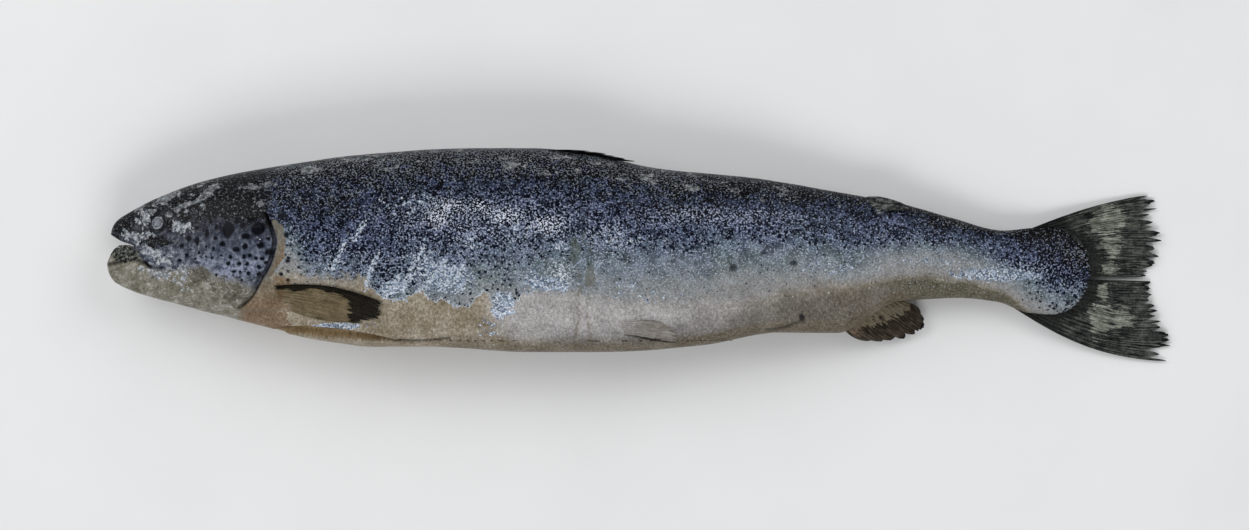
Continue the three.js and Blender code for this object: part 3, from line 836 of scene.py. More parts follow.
class Network:
    """Adds nodes to one tree. Values are numbers, colours or the results of other nodes."""

    def __init__(self, tree):
        self.tree = tree

    def add(self, kind, inputs, result=0, **settings):
        node = self.tree.nodes.new(kind)
        for name, value in settings.items():
            setattr(node, name, value)
        for key, value in inputs.items():
            if isinstance(value, bpy.types.NodeSocket):
                self.tree.links.new(value, node.inputs[key])
            else:
                node.inputs[key].default_value = value
        return node if result is None else node.outputs[result]

    def place(self, group, inputs):
        """A shared effect with its own values; gives its results by name."""
        return self.add("ShaderNodeGroup", inputs, None, node_tree=group).outputs

    def math(self, operation, *values):
        return self.add("ShaderNodeMath", dict(enumerate(values)), operation=operation)

    def plus(self, first, second):
        return self.math("ADD", first, second)

    def minus(self, first, second):
        return self.math("SUBTRACT", first, second)

    def times(self, first, second):
        return self.math("MULTIPLY", first, second)

    def larger(self, first, second):
        return self.math("MAXIMUM", first, second)

    def blend(self, share, first, second, way="MIX"):
        return self.add("ShaderNodeMix", {0: share, 6: first, 7: second}, 2,
                        data_type="RGBA", blend_type=way)

    def shaded(self, colour, tone):
        """A colour made darker or lighter by one number."""
        return self.blend(1.0, colour, self.vector(tone, tone, tone), "MULTIPLY")

    def between(self, share, first, second):
        return self.add("ShaderNodeMix", {0: share, 2: first, 3: second}, 0,
                        data_type="FLOAT")

    def step(self, value, start, end, low=0.0, high=1.0):
        return self.add("ShaderNodeMapRange", {0: value, 1: start, 2: end, 3: low, 4: high},
                        interpolation_type="SMOOTHSTEP")

    def ramp(self, value, stops):
        node = self.add("ShaderNodeValToRGB", {0: value}, None)
        elements = node.color_ramp.elements
        while len(elements) < len(stops):
            elements.new(0.5)
        for element, (place, colour) in zip(elements, stops):
            element.position = place
            element.color = linear(*colour)
        return node.outputs[0]

    def noise(self, place, scale, detail=3.0, rough=0.55, result=0):
        inputs = {"Vector": place, "Scale": scale, "Detail": detail, "Roughness": rough}
        return self.add("ShaderNodeTexNoise", inputs, result)

    def mask(self, name, result="Fac"):
        return self.add("ShaderNodeAttribute", {}, result, attribute_name=name)

    def parts(self, vector):
        node = self.add("ShaderNodeSeparateXYZ", {0: vector}, None)
        return node.outputs[0], node.outputs[1], node.outputs[2]

    def vector(self, x, y, z=0.0):
        return self.add("ShaderNodeCombineXYZ", {0: x, 1: y, 2: z})

    def shifted(self, vector, by):
        return self.add("ShaderNodeVectorMath", {0: vector, 1: by}, operation="ADD")


def node_group(name, inputs, outputs, wire):
    """A reusable effect: wire(network, inputs by name) gives its results by name."""
    tree = bpy.data.node_groups.new(name, "ShaderNodeTree")
    for label, kind, value in inputs:
        socket = tree.interface.new_socket(label, in_out="INPUT", socket_type=kind)
        if value is not None:
            socket.default_value = value
    for label, kind in outputs:
        tree.interface.new_socket(label, in_out="OUTPUT", socket_type=kind)
    source = tree.nodes.new("NodeGroupInput")
    sink = tree.nodes.new("NodeGroupOutput")
    results = wire(Network(tree), {label: source.outputs[label] for label, _, _ in inputs})
    for label, result in results.items():
        tree.links.new(result, sink.inputs[label])
    return tree


NUMBER, PLACE, COLOUR = "NodeSocketFloat", "NodeSocketVector", "NodeSocketColor"
print("a middle grey reflects", round(linear(128, 128, 128)[0], 3), "of the light")

# %% [markdown]
# ## Effects that several finishes share
# **Scales** gives every scale its own chance numbers and tells how far a place is from the
# middle and towards the rear of its scale. **Grain** is the finest unevenness. **Torn edge**
# turns a soft mask into a ragged patch with a rim along its edge, which serves for rubbed skin,
# silver, slime and worn fins alike. Two larger ones come later: **Scaled skin**, which the
# head and the body share, and **Fin rays**. Each is built once, and each finish places it with
# its own values.


# %% The shared node groups
def wire_scales(n, given):
    bent = n.noise(given["Place"], 0.6, 2.0, 0.6, 1)
    bent = n.shifted(bent, (-0.5, -0.5, -0.5))
    by = n.vector(given["Ragged"], given["Ragged"])
    place = n.add("ShaderNodeVectorMath", {0: bent, 1: by, 2: given["Place"]},
                  operation="MULTIPLY_ADD")
    along, around, _ = n.parts(place)
    a = n.math("DIVIDE", along, given["Along"])
    b = n.math("DIVIDE", around, given["Round"])
    slant = n.vector(n.plus(a, b), n.minus(a, b))
    cells = n.add("ShaderNodeTexVoronoi", {"Vector": slant, "Scale": 1.0,
                  "Randomness": given["Looseness"]}, None, voronoi_dimensions="2D")
    chance, second, third = n.parts(cells.outputs["Color"])
    away = n.add("ShaderNodeVectorMath", {0: slant, 1: cells.outputs["Position"]},
                 operation="SUBTRACT")
    dp, dq, _ = n.parts(away)
    return {"Chance": chance, "Second chance": second, "Third chance": third,
            "From middle": cells.outputs["Distance"], "To rear": n.plus(dp, dq),
            "To side": n.minus(dp, dq)}


scales_group = node_group(
    "Scales",
    [("Place", PLACE, None), ("Along", NUMBER, SCALE_ALONG), ("Round", NUMBER, SCALE_ROUND),
     ("Looseness", NUMBER, 0.3), ("Ragged", NUMBER, 2.0)],
    [("Chance", NUMBER), ("Second chance", NUMBER), ("Third chance", NUMBER),
     ("From middle", NUMBER), ("To rear", NUMBER), ("To side", NUMBER)],
    wire_scales,
)


def wire_grain(n, given):
    fine = n.noise(given["Place"], given["Per mm"], 4.0, 0.7)
    return {"Grain": n.step(fine, 0.3, 0.7)}


grain_group = node_group(
    "Grain", [("Place", PLACE, None), ("Per mm", NUMBER, 0.8)], [("Grain", NUMBER)], wire_grain
)


def wire_torn(n, given):
    stretched = n.add("ShaderNodeVectorMath", {0: given["Place"], 1: given["Stretch"]},
                      operation="MULTIPLY")
    wave = n.noise(stretched, given["Per mm"], 3.5, given["Raggedness"])
    shift = n.times(n.minus(wave, 0.5), given["Tearing"])
    level = n.plus(given["Amount"], shift)
    inside = n.step(level, 0.47, 0.53)
    rim = n.times(n.step(level, 0.32, 0.45), n.minus(1.0, inside))
    return {"Mask": inside, "Rim": rim}


torn_group = node_group(
    "Torn edge",
    [("Place", PLACE, None), ("Amount", NUMBER, 0.0), ("Per mm", NUMBER, 0.3),
     ("Tearing", NUMBER, 1.2), ("Raggedness", NUMBER, 0.7),
     ("Stretch", PLACE, (1.0, 1.0, 1.0))],
    [("Mask", NUMBER), ("Rim", NUMBER)],
    wire_torn,
)


def torn(n, place, amount, per_mm, tearing, raggedness=0.7, stretch=(1.0, 1.0, 1.0)):
    """A torn edge placed in a network; amount is the soft mask that it tears."""
    return n.place(torn_group, {"Place": place, "Amount": amount, "Per mm": per_mm,
                                "Tearing": tearing, "Raggedness": raggedness,
                                "Stretch": stretch})


print("shared effects:", [group.name for group in bpy.data.node_groups])

# %% [markdown]
# ## The scaled skin
# From the back down, a salmon goes from near black through slate blue to silver and a pale
# belly. Each scale carries a ragged navy dot of pigment, big on the back and gone on the belly,
# between the dots glint fine bluish flecks, and each scale lies at its own slight tilt, so the
# flank glitters instead of shining evenly. The colours are made in one group, because the
# scaled skin also reaches into the head piece behind the gill cover.


# %% The ground from back to belly
BACK_TO_BELLY = [
    (0.0, (10, 11, 11)), (0.1, (13, 15, 20)), (0.17, (38, 45, 65)), (0.3, (53, 60, 82)),
    (0.42, (63, 72, 95)), (0.54, (84, 94, 112)), (0.66, (106, 115, 125)),
    (0.78, (134, 137, 138)), (0.9, (142, 140, 138)), (0.97, (120, 114, 100)),
    (1.0, (92, 86, 70)),
]


def ground_colour(n, place, down):
    ground = n.ramp(down, BACK_TO_BELLY)
    teal = n.blend(1.0, ground, (0.93, 1.0, 0.86, 1), "MULTIPLY")
    patches = n.step(n.noise(place, 0.028, 3.0, 0.6), 0.42, 0.6)
    return n.blend(n.times(patches, n.step(down, 0.8, 0.6)), ground, teal)


def wrinkled(n, place):
    """Fine wrinkles over broad ones, from 0 to 1."""
    along, around, _ = n.parts(place)
    fine = n.noise(n.vector(along, n.times(around, 0.6)), 0.6, 2.0, 0.6)
    return n.between(0.45, fine, n.noise(place, 0.07, 4.0, 0.6))


# %% Dots and flecks on the scales
def pigment_dots(n, given, down, scale, blotch):
    """One navy dot on each scale: big on the back, gone on the belly."""
    reach = n.plus(n.step(down, 0.05, 0.2, 0.62, 0.47), n.step(down, 0.42, 0.66, 0, -0.48))
    reach = n.plus(reach, n.times(given["Pigment"], n.step(down, 0.55, 0.8, 0.24, 0.44)))
    reach = n.plus(reach, n.step(scale["Third chance"], 0.0, 1.0, -0.22, 0.2))
    reach = n.minus(reach, n.times(blotch, 0.5))
    return n.step(scale["From middle"], reach, n.minus(reach, 0.13))


def pale_flecks(n, given, down, scale, blotch):
    """Fine glints between the dots: how much of them shows, and their colour."""
    fleck = n.plus(n.noise(given["Place"], 0.8, 1.0, 0.6), n.times(blotch, 0.3))
    light = n.plus(given["Glare"], n.times(given["Pigment"], 0.15))
    fleck = n.plus(fleck, n.times(light, 0.07))
    fleck = n.plus(fleck, n.step(down, 0.1, 0.16, 0.03, 0.0))
    fleck = n.times(n.step(fleck, 0.54, 0.61), n.step(scale["From middle"], 0.16, 0.28))
    bright = n.times(n.step(down, 0.1, 0.28, 0.85, 1.0), n.step(down, 0.6, 0.94, 1, 0.25))
    chance = n.times(n.minus(scale["Second chance"], 0.5), 0.24)
    colour = n.ramp(n.plus(down, chance), [
        (0.08, (122, 128, 135)), (0.24, (108, 116, 147)), (0.45, (146, 156, 180)),
        (0.8, (172, 178, 184))])
    return n.times(fleck, bright), n.blend(given["Glare"], colour, linear(226, 230, 240))


# %% Bare skin, silver and slime
def bare_skin(n, given, down, wrinkle):
    """The skin under the scales: pale grey, or tan where it is told so."""
    pale = n.ramp(wrinkle, [(0.32, (126, 123, 122)), (0.5, (167, 164, 163)),
                            (0.68, (200, 197, 196))])
    tan = n.ramp(wrinkle, [(0.32, (102, 90, 70)), (0.5, (142, 131, 113)),
                           (0.68, (184, 176, 162))])
    return n.shaded(n.blend(given["Tan"], pale, tan), n.step(down, 0.88, 1.08, 1.0, 0.5))


def silver_plates(n, given, scale, edge):
    """Silver lies on single scales with cracks between them, and unbroken along an edge."""
    plate = n.step(scale["From middle"], 0.56, 0.36)
    plate = n.times(plate, n.step(scale["Second chance"], 0.05, 0.6, 0.15, 1.0))
    crack = n.math("ABSOLUTE", n.minus(n.noise(given["Place"], 0.2, 3.0, 0.7), 0.5))
    plate = n.larger(n.times(plate, n.step(crack, 0.008, 0.03, 0.1, 1.0)), edge)
    colour = n.blend(plate, linear(82, 100, 122), linear(172, 187, 209))
    gleam = n.plus(n.noise(given["Place"], 0.7, 1.0, 0.6), n.times(edge, 0.06))
    return n.blend(n.step(gleam, 0.53, 0.6), colour, linear(222, 227, 234))


def slime_and_web(n, given, colour, film, dot):
    """Dried slime over the scales, and the web of the tail fin where the flesh runs out."""
    place = given["Place"]
    streaks = n.noise(place, 0.34, 3.0, 0.7)
    film_colour = n.ramp(streaks, [(0.38, (64, 67, 69)), (0.5, (112, 115, 117)),
                                   (0.62, (166, 169, 170))])
    colour = n.blend(n.times(film, n.between(dot, 0.95, 0.84)), colour, film_colour)
    web = torn(n, place, given["Web"], 0.25, 1.1, stretch=(0.4, 1.0, 1.0))["Mask"]
    return n.blend(web, colour, n.ramp(streaks, [
        (0.32, (20, 22, 22)), (0.5, (40, 44, 43)), (0.7, (72, 76, 70))]))


# %% Marks and openings
def marks_and_openings(n, given, colour, down, wrinkle):
    """Worn skin behind the gill cover, dark stains with painted shade in the seam and vent grooves,
    the tissue inside the openings, and a painted shadow along the belly cut's upper edge.
    """
    strip = n.ramp(wrinkle, [(0.32, (88, 84, 72)), (0.5, (116, 111, 98)),
                             (0.68, (146, 142, 130))])
    orange = n.ramp(wrinkle, [(0.32, (96, 72, 52)), (0.5, (120, 99, 78)),
                              (0.68, (150, 134, 112))])
    worn = torn(n, given["Place"], given["Girdle"], 0.2, 1.8)["Mask"]
    worn_colour = n.blend(n.step(down, 0.55, 0.75), strip, orange)
    colour = n.blend(n.times(worn, 0.9), colour, worn_colour)
    # dark spots and bruises, and painted shade in the seam, the vent and its fold
    colour = n.blend(given["Stain"], colour, linear(22, 25, 33))
    flesh = n.ramp(wrinkle, [(0.3, (102, 82, 56)), (0.5, (136, 116, 86)), (0.7, (158, 144, 114))])
    colour = n.blend(given["Flesh"], colour, flesh)
    # the gill slit's red-brown lining, and in the same colour the painted shadow along the belly
    # cut's upper edge
    return n.blend(given["Slit"], colour, linear(58, 34, 25))


def relief_of_scales(n, scale, bare, grain, wrinkle, film):
    """Each scale tilts its own way; grain, wrinkles and slime lie over that."""
    rearward = n.times(scale["To rear"], n.step(scale["Chance"], 0, 1, 0.1, 1.0))
    sideways = n.times(scale["To side"], n.step(scale["Third chance"], 0, 1, -0.5, 0.5))
    tilt = n.times(n.plus(rearward, sideways), n.minus(1.0, bare))
    height = n.plus(n.times(tilt, 0.5), n.times(grain, 0.07))
    height = n.plus(height, n.times(wrinkle, 0.3))
    return n.plus(height, n.times(film, 0.15))


# %% The scaled skin as one group
def wire_scaled(n, given):
    place = given["Place"]
    slow = n.noise(place, 0.05, 4.0, 0.6)
    blotch = n.minus(n.noise(place, 0.13, 4.0, 0.65), 0.5)
    wrinkle = wrinkled(n, place)
    down = n.plus(given["Down"], n.times(n.minus(slow, 0.5), 0.2))
    scale = n.place(scales_group, {"Place": place, "Looseness": 0.75, "Ragged": 2.6})
    tone = n.times(n.step(scale["Chance"], 0.0, 1.0, 0.7, 1.26),
                   n.step(blotch, -0.16, 0.16, 0.6, 1.42))
    tone = n.between(n.step(down, 0.55, 0.8, 0.0, 0.75), tone, 1.0)
    colour = n.shaded(ground_colour(n, place, down), tone)
    dot = pigment_dots(n, given, down, scale, blotch)
    dot_colour = n.ramp(down, [(0.1, (3, 3, 3)), (0.25, (2, 4, 16)), (0.7, (16, 22, 38))])
    colour = n.blend(n.times(dot, 0.97), colour, dot_colour)
    fleck, fleck_colour = pale_flecks(n, given, down, scale, blotch)
    colour = n.blend(fleck, colour, fleck_colour)
    streaky = n.shaded(colour, n.step(wrinkle, 0.34, 0.66, 0.84, 1.16))
    colour = n.blend(n.step(down, 0.6, 0.75), colour, streaky)
    # bare skin where the scales are rubbed off
    bare = torn(n, place, given["Bare"], 0.16, 1.9)
    gradual = n.between(0.4, n.step(given["Bare"], 0.25, 0.85), bare["Mask"])
    rubbed = n.between(given["Silver rim"], gradual, bare["Mask"])
    colour = n.blend(rubbed, colour, bare_skin(n, given, down, wrinkle))
    # silver, brightest where it ends at the bare skin
    streak = torn(n, place, given["Streak"], 0.5, 2.8, 0.6)["Mask"]
    sheet = n.larger(torn(n, place, given["Silver"], 0.25, 1.9)["Mask"], streak)
    rim = n.times(bare["Rim"], given["Silver rim"])
    plates = silver_plates(n, given, scale, n.larger(rim, streak))
    colour = n.blend(n.times(n.larger(sheet, rim), 0.85), colour, plates)
    # green-grey stains in the folds
    crease = torn(n, place, given["Crease"], 0.18, 1.0)["Mask"]
    colour = n.blend(n.times(crease, 0.62), colour, n.ramp(down, [
        (0.6, (86, 94, 86)), (0.78, (122, 114, 100))]))
    # all that lies over the scales or breaks through them
    film = torn(n, place, given["Slime"], 0.12, 2.8, 0.8, (0.55, 1.0, 1.0))["Mask"]
    colour = slime_and_web(n, given, colour, film, dot)
    colour = marks_and_openings(n, given, colour, down, wrinkle)
    grain = n.place(grain_group, {"Place": place, "Per mm": 0.75})["Grain"]
    colour = n.shaded(colour, n.step(grain, 0.0, 1.0, 0.78, 1.18))
    rough = n.between(film, n.between(grain, 0.34, 0.5), 0.42)
    metal = n.times(sheet, n.step(scale["Chance"], 0.2, 0.9, 0.05, 0.4))
    height = relief_of_scales(n, scale, bare["Mask"], grain, wrinkle, film)
    return {"Colour": colour, "Roughness": rough, "Metallic": metal, "Height": height}


SKIN_MASKS = ["down", "pigment", "glare", "silver", "streak", "bare", "tan", "silver rim",
              "crease", "slime", "web", "stain", "girdle", "flesh", "slit"]
scaled_group = node_group(
    "Scaled skin",
    [("Place", PLACE, None)] + [(name.capitalize(), NUMBER, 0.0) for name in SKIN_MASKS],
    [("Colour", COLOUR), ("Roughness", NUMBER), ("Metallic", NUMBER), ("Height", NUMBER)],
    wire_scaled,
)
print("the scaled skin takes", len(SKIN_MASKS), "masks and", len(scaled_group.nodes), "nodes")

# %% [markdown]
# ## Wet scaled skin
# A wet fish shines because water lies over the scales, so the material is a matt skin with a
# thin clear coat. The coat is weak here: the glitter is already in the flecks and in the tilt
# of each scale, and a strong coat would turn the black back grey.


# %% Wet scaled skin
def new_material(name):
    material = bpy.data.materials.new(name)
    material.use_nodes = True
    material.node_tree.nodes.clear()
    return material, Network(material.node_tree)


def finished(material, n, inputs, height, strength, distance):
    normal = n.add("ShaderNodeBump", {"Height": height, "Strength": strength,
                                      "Distance": distance})
    surface = n.add("ShaderNodeBsdfPrincipled", {**inputs, "Normal": normal})
    n.add("ShaderNodeOutputMaterial", {"Surface": surface}, None)
    print(f"{material.name}: {len(n.tree.nodes)} nodes")
    return material


def scaled_colours(n, place):
    inputs = {name.capitalize(): n.mask(name) for name in SKIN_MASKS}
    return n.place(scaled_group, {"Place": place, **inputs})


def scaled_skin():
    material, n = new_material("wet scaled skin")
    skin = scaled_colours(n, n.mask("scale_place", "Vector"))
    return finished(material, n, {
        "Base Color": skin["Colour"], "Roughness": skin["Roughness"],
        "Metallic": skin["Metallic"], "Specular IOR Level": 0.04,
        "Coat Weight": 0.06, "Coat Roughness": 0.12, "Coat IOR": 1.4},
        skin["Height"], 0.7, 0.0005)


SKIN = scaled_skin()

# %% [markdown]
# ## The head's skin
# The head has no scales. Its skin is thin over bone: black on top with torn grey films, lilac
# and mirror smooth on the gill cover, mottled round the jaws and pale olive under the throat.
# Behind the gill cover the scaled skin's own colours take over, from the same group.


# %% The head's own ground
def head_ground(n, mottle, broad, tissue):
    """Pale throat, mottled cheek and lilac gill cover, darker towards the back."""
    throat = n.ramp(n.between(0.35, broad, tissue), [
        (0.36, (90, 87, 72)), (0.5, (126, 122, 110)), (0.64, (166, 162, 155))])
    cheek = n.ramp(mottle, [(0.36, (46, 50, 60)), (0.5, (82, 87, 100)), (0.6, (120, 125, 136)),
                            (0.7, (152, 156, 164))])
    cover = n.ramp(n.between(0.6, broad, mottle), [
        (0.38, (50, 55, 70)), (0.5, (86, 92, 109)), (0.62, (130, 136, 151))])
    cover = n.blend(n.mask("cover"), cheek, cover)
    cover = n.shaded(cover, n.step(n.mask("down"), 0.2, 0.48, 0.26, 1.0))
    gleam = n.times(n.mask("gleam"), n.step(mottle, 0.4, 0.56))
    return n.blend(gleam, n.blend(n.mask("cheek"), throat, cover), linear(150, 156, 176))


# %% Torn layers over it, from the lowest to the topmost
# mask, how fine and how deep its tears are, how much it hides, which noise colours it, colours
HEAD_LAYERS = [
    ("jaw", 0.25, 1.8, 1.0, "tissue",
     [(0.38, (14, 14, 13)), (0.48, (46, 48, 44)), (0.58, (92, 93, 87)), (0.68, (146, 146, 142))]),
    ("pale", 0.2, 3.0, 0.9, "tissue",
     [(0.34, (74, 80, 90)), (0.5, (132, 137, 144)), (0.64, (194, 197, 200))]),
    ("brown", 0.16, 2.0, 0.85, "mottle", [(0.36, (70, 66, 55)), (0.64, (108, 104, 95))]),
    ("black", 0.18, 2.4, 1.0, "tissue",
     [(0.4, (8, 8, 9)), (0.54, (24, 25, 28)), (0.62, (64, 66, 68)), (0.7, (126, 128, 128))]),
    ("film", 0.18, 2.6, 0.9, "tissue",
     [(0.34, (62, 66, 70)), (0.5, (108, 112, 116)), (0.64, (164, 167, 169))]),
]


def head_layers(n, place, colour, noises):
    for mask, per_mm, tearing, hides, noise, colours in HEAD_LAYERS:
        shows = torn(n, place, n.mask(mask), per_mm, tearing, 0.8)["Mask"]
        colour = n.blend(n.times(shows, hides), colour, n.ramp(noises[noise], colours))
    return colour


# %% Wet head skin
def head_skin():
    material, n = new_material("wet head skin")
    place = n.mask("scale_place", "Vector")
    mottle, broad = n.noise(place, 0.28, 3.0, 0.7), n.noise(place, 0.12, 4.0, 0.66)
    tissue = n.noise(place, 0.4, 2.5, 0.7)
    fine = n.place(grain_group, {"Place": place, "Per mm": 0.6})["Grain"]
    colour = head_ground(n, mottle, broad, tissue)
    colour = head_layers(n, place, colour, {"tissue": tissue, "mottle": mottle})
    fleck = n.times(n.step(n.noise(place, 0.8, 1.0, 0.6), 0.64, 0.7), 0.3)
    colour = n.blend(fleck, colour, linear(172, 176, 180))
    colour = n.blend(n.mask("spots"), colour, linear(6, 7, 15))
    # the dark lip line, a dark rim along the gill cover's edge, and painted shade in the mouth's
    # groove and round the eye
    colour = n.blend(n.mask("line"), colour, linear(12, 12, 14))
    colour = n.shaded(colour, n.step(fine, 0.0, 1.0, 0.78, 1.2))
    # the scaled skin behind the gill cover
    body = n.mask("body")
    skin = scaled_colours(n, place)
    colour = n.blend(body, colour, skin["Colour"])
    rough = n.between(body, n.between(fine, 0.3, 0.46), skin["Roughness"])
    metal = n.times(skin["Metallic"], body)
    height = n.plus(n.times(mottle, 0.8), n.times(fine, 0.07))
    return finished(material, n, {
        "Base Color": colour, "Roughness": rough, "Metallic": metal,
        "Specular IOR Level": 0.04, "Coat Weight": 0.08, "Coat Roughness": 0.12,
        "Coat IOR": 1.4}, n.between(body, height, skin["Height"]), 0.6, 0.0005)


HEAD_SKIN = head_skin()


# %% [markdown]
# ## Flesh, eyes and mouth
# Inside the belly cut and the mouth the tissue is moist and ochre to brown. The eye of a fish
# that has been on ice for a while is clouded: a grey ring round a hazy pupil.


# %% Moist flesh and the clouded eye
def moist_flesh():
    material, n = new_material("moist flesh")
    place = n.add("ShaderNodeTexCoord", {}, "Object")
    strands = n.noise(place, 260.0, 5.0, 0.65)
    colour = n.ramp(strands, [(0.3, (70, 48, 34)), (0.5, (112, 88, 62)), (0.72, (140, 120, 96))])
    return finished(material, n, {
        "Base Color": colour, "Roughness": n.between(strands, 0.3, 0.5), "Coat Weight": 0.5,
        "Coat Roughness": 0.1, "IOR": 1.4}, strands, 0.6, 0.0004)


def clouded_eye():
    material, n = new_material("clouded eye")
    place = n.add("ShaderNodeTexCoord", {}, "Object")
    haze = n.noise(place, 700.0, 2.0, 0.6)
    away = n.plus(n.mask("from_middle"), n.times(n.minus(haze, 0.5), 0.5))
    colour = n.ramp(away, [(0.0, (92, 97, 106)), (0.4, (126, 131, 140)), (0.6, (66, 70, 76)),
                           (0.74, (144, 149, 156)), (0.86, (78, 82, 88)), (0.96, (24, 26, 29))])
    cloudy = n.step(n.noise(place, 420.0, 2.5, 0.65), 0.36, 0.64, 0.6, 1.5)
    # the rim's painted shade on the side away from the light
    colour = n.blend(n.mask("dark_side"), n.shaded(colour, cloudy), linear(20, 22, 26))
    return finished(material, n, {
        "Base Color": colour, "Roughness": n.between(haze, 0.3, 0.5),
        "Specular IOR Level": 0.2, "Coat Weight": 0.3, "Coat Roughness": 0.08, "IOR": 1.38},
        haze, 0.2, 0.0002)


FLESH = moist_flesh()
EYE = clouded_eye()

# %% [markdown]
# ## The four lengths of scaled skin
# The skin behind the head could be one mesh, but four lengths of equal size keep each one
# light enough to work on, and give each its own share of a texture. Each gets its masks from
# the place of its points, so the marks run on from one length to the next. The last one is
# closed, with its rings crowded together where the flesh runs out into the tail.


# %% Body skin pieces
BODY_ENDS = [HEAD_END, 253.5, 385.0, 516.5, FLESH_LENGTH]
BODY_NAMES = ["shoulder_skin", "middle_skin", "vent_skin", "tail_root_skin"]
BODY_RINGS = 300
END_RINGS = 40  # of these, so many lie in the rounded end of the flesh
END_LENGTH = 14
for name, front, rear in zip(BODY_NAMES, BODY_ENDS[:-1], BODY_ENDS[1:]):
    stations = np.linspace(front, rear, BODY_RINGS)
    last = rear == FLESH_LENGTH
    if last:
        even = np.linspace(front, rear - END_LENGTH, BODY_RINGS - END_RINGS)
        closing = rear - END_LENGTH * np.linspace(1, 0.01, END_RINGS + 1)[1:] ** 2
        stations = np.concatenate([even, closing])
    mesh, plain, normals = skin_mesh(name, stations, rear_closed=last)
    skin_masks(mesh, plain)
    piece_from(name, mesh, [SKIN])
    mesh.normals_split_custom_set_from_vertices(normals.astype(np.float32))

# %% [markdown]
# ## The head piece
# The head carries most of what tells this fish apart: black on top, pale patches round the
# eye, torn films on the skull, the dark line of the lips, and its spots. Each is a leaning oval
# or a line, given as a middle, two half sizes and a lean in degrees, and the layers of the
# head's skin tear their edges. The piece is closed at both ends for now, because the mouth is
# cut with a boolean, which works best on a closed body.

# %% Places of the marks on the head
BLACK_EDGE = [
    (0.9, 13), (9, 19), (18.9, 26), (28.8, 32), (39.1, 31), (49.6, 25.9), (63, 24.5),
    (72.9, 24.5), (82, 22.8), (96, 22), (106, 21), (112.6, 18),
]
JAW_TOP = [
    (0, 5), (16, 5), (24.2, -1), (31.5, -8), (47.5, -9.5), (60, -7.5), (72, -10), (85, -15),
    (100, -21), (112, -23),
]
DARK_PATCHES = [
    (35, 9, 13, 4.6), (6, 17, 7.5, 6.5), (53.6, 25.9, 8, 4), (42.6, 20.7, 2.4, 5.5),
    (15.5, 20.5, 4, 6), (33, 30, 8, 3),
]
PALE_PATCHES = [
    ((25.2, 24.7), (4.6, 5.9), 0), ((17.4, 12.9), (9.2, 3.3), -22),
    ((35, -0.2), (14.4, 3.9), -28), ((50.4, 18.7), (7.9, 3.6), -8),
    ((52.2, -13.8), (3.3, 8.5), 6), ((29.6, 12.9), (5.9, 2.6), -10),
    ((34.8, -11.9), (14.4, 3.3), -15),
]
HEAD_FILMS = [
    ((38.7, 36.5), (9.2, 2.6), 38), ((69.6, 42.2), (6.6, 2.3), 42),
    ((54.7, 33.1), (10.5, 1.3), 22), ((103.9, 33.6), (3.3, 2.6), 0),
    ((95.5, 44.7), (7.9, 2), 0), ((42, 27), (3.2, 3.2), 0), ((31, 29.5), (5, 1.8), 12),
    ((107, 46), (5, 2.6), 0), ((22, 30), (5, 2.4), 35),
]
DARK_JAW = ((12.4, 1.5), (11, 6.5), -8)
BROWN_CHEEK = ((63, -12.5), (7.9, 7.5), 0)
BROWN_THROAT = ((84, -25), (17, 9), -20)
GILL_GLEAM = ((88.3, -9.3), (15.7, 5.2), 10)
CHEEK_GLEAM = ((66.5, -4.1), (6.6, 5.2), 0)
LIP = [(0.9, -6), (9.2, -4.1), (18.1, -2.8), (26.2, -4.1), (30.2, -7.3)]
SPOT_SWELL = 1.12  # pigment spreads a little past each spot's plain outline
black_edge = curve_through(BLACK_EDGE)
jaw_top = curve_through(JAW_TOP)
print("patches and films on the head:", len(DARK_PATCHES + PALE_PATCHES + HEAD_FILMS))


# %% Masks of the head's colours
def leaning(x, y, patches, edge):
    mask = np.zeros(len(x))
    for middle, reach, lean in patches:
        mask = np.maximum(mask, patch(x, y, middle, reach, lean, edge))
    return mask


def head_colour_masks(mesh, x, y, orbit, wander):
    cover = ease(62, 78, x + 2 * wander) * ease(-17, -9, y + 2 * wander)
    write_mask(mesh, "cover", cover * (1 - 0.35 * ease(14, 26, y)))
    above_jaw = (y + wander - jaw_top(x)) / mix(1, 2.6, ease(45, 70, x))
    write_mask(mesh, "cheek", ease(-2.5, 1.5, above_jaw))
    above = 0.5 + (y - black_edge(x)) / 13
    dark = np.clip(np.maximum(above, 0.68 * most_of(x, y, DARK_PATCHES, 0.6)), 0, 0.85)
    write_mask(mesh, "black", dark * ease(EYE_RADIUS, EYE_RADIUS + 1, orbit))
    write_mask(mesh, "jaw", 0.78 * leaning(x, y, [DARK_JAW], 0.5))
    write_mask(mesh, "pale", 0.74 * leaning(x, y, PALE_PATCHES, 0.8))
    write_mask(mesh, "brown", np.maximum(0.75 * leaning(x, y, [BROWN_CHEEK], 0.5),
                                         0.58 * leaning(x, y, [BROWN_THROAT], 0.6)))
    skull = ease(0.55, 0.75, above) * ease(14, 26, x) * ease(84, 66, x)
    write_mask(mesh, "film", 0.64 * leaning(x, y, HEAD_FILMS, 0.8) + 0.34 * skull)
    write_mask(mesh, "gleam", 0.75 * leaning(x, y, [GILL_GLEAM], 0.6)
               + 0.4 * leaning(x, y, [CHEEK_GLEAM], 0.6))


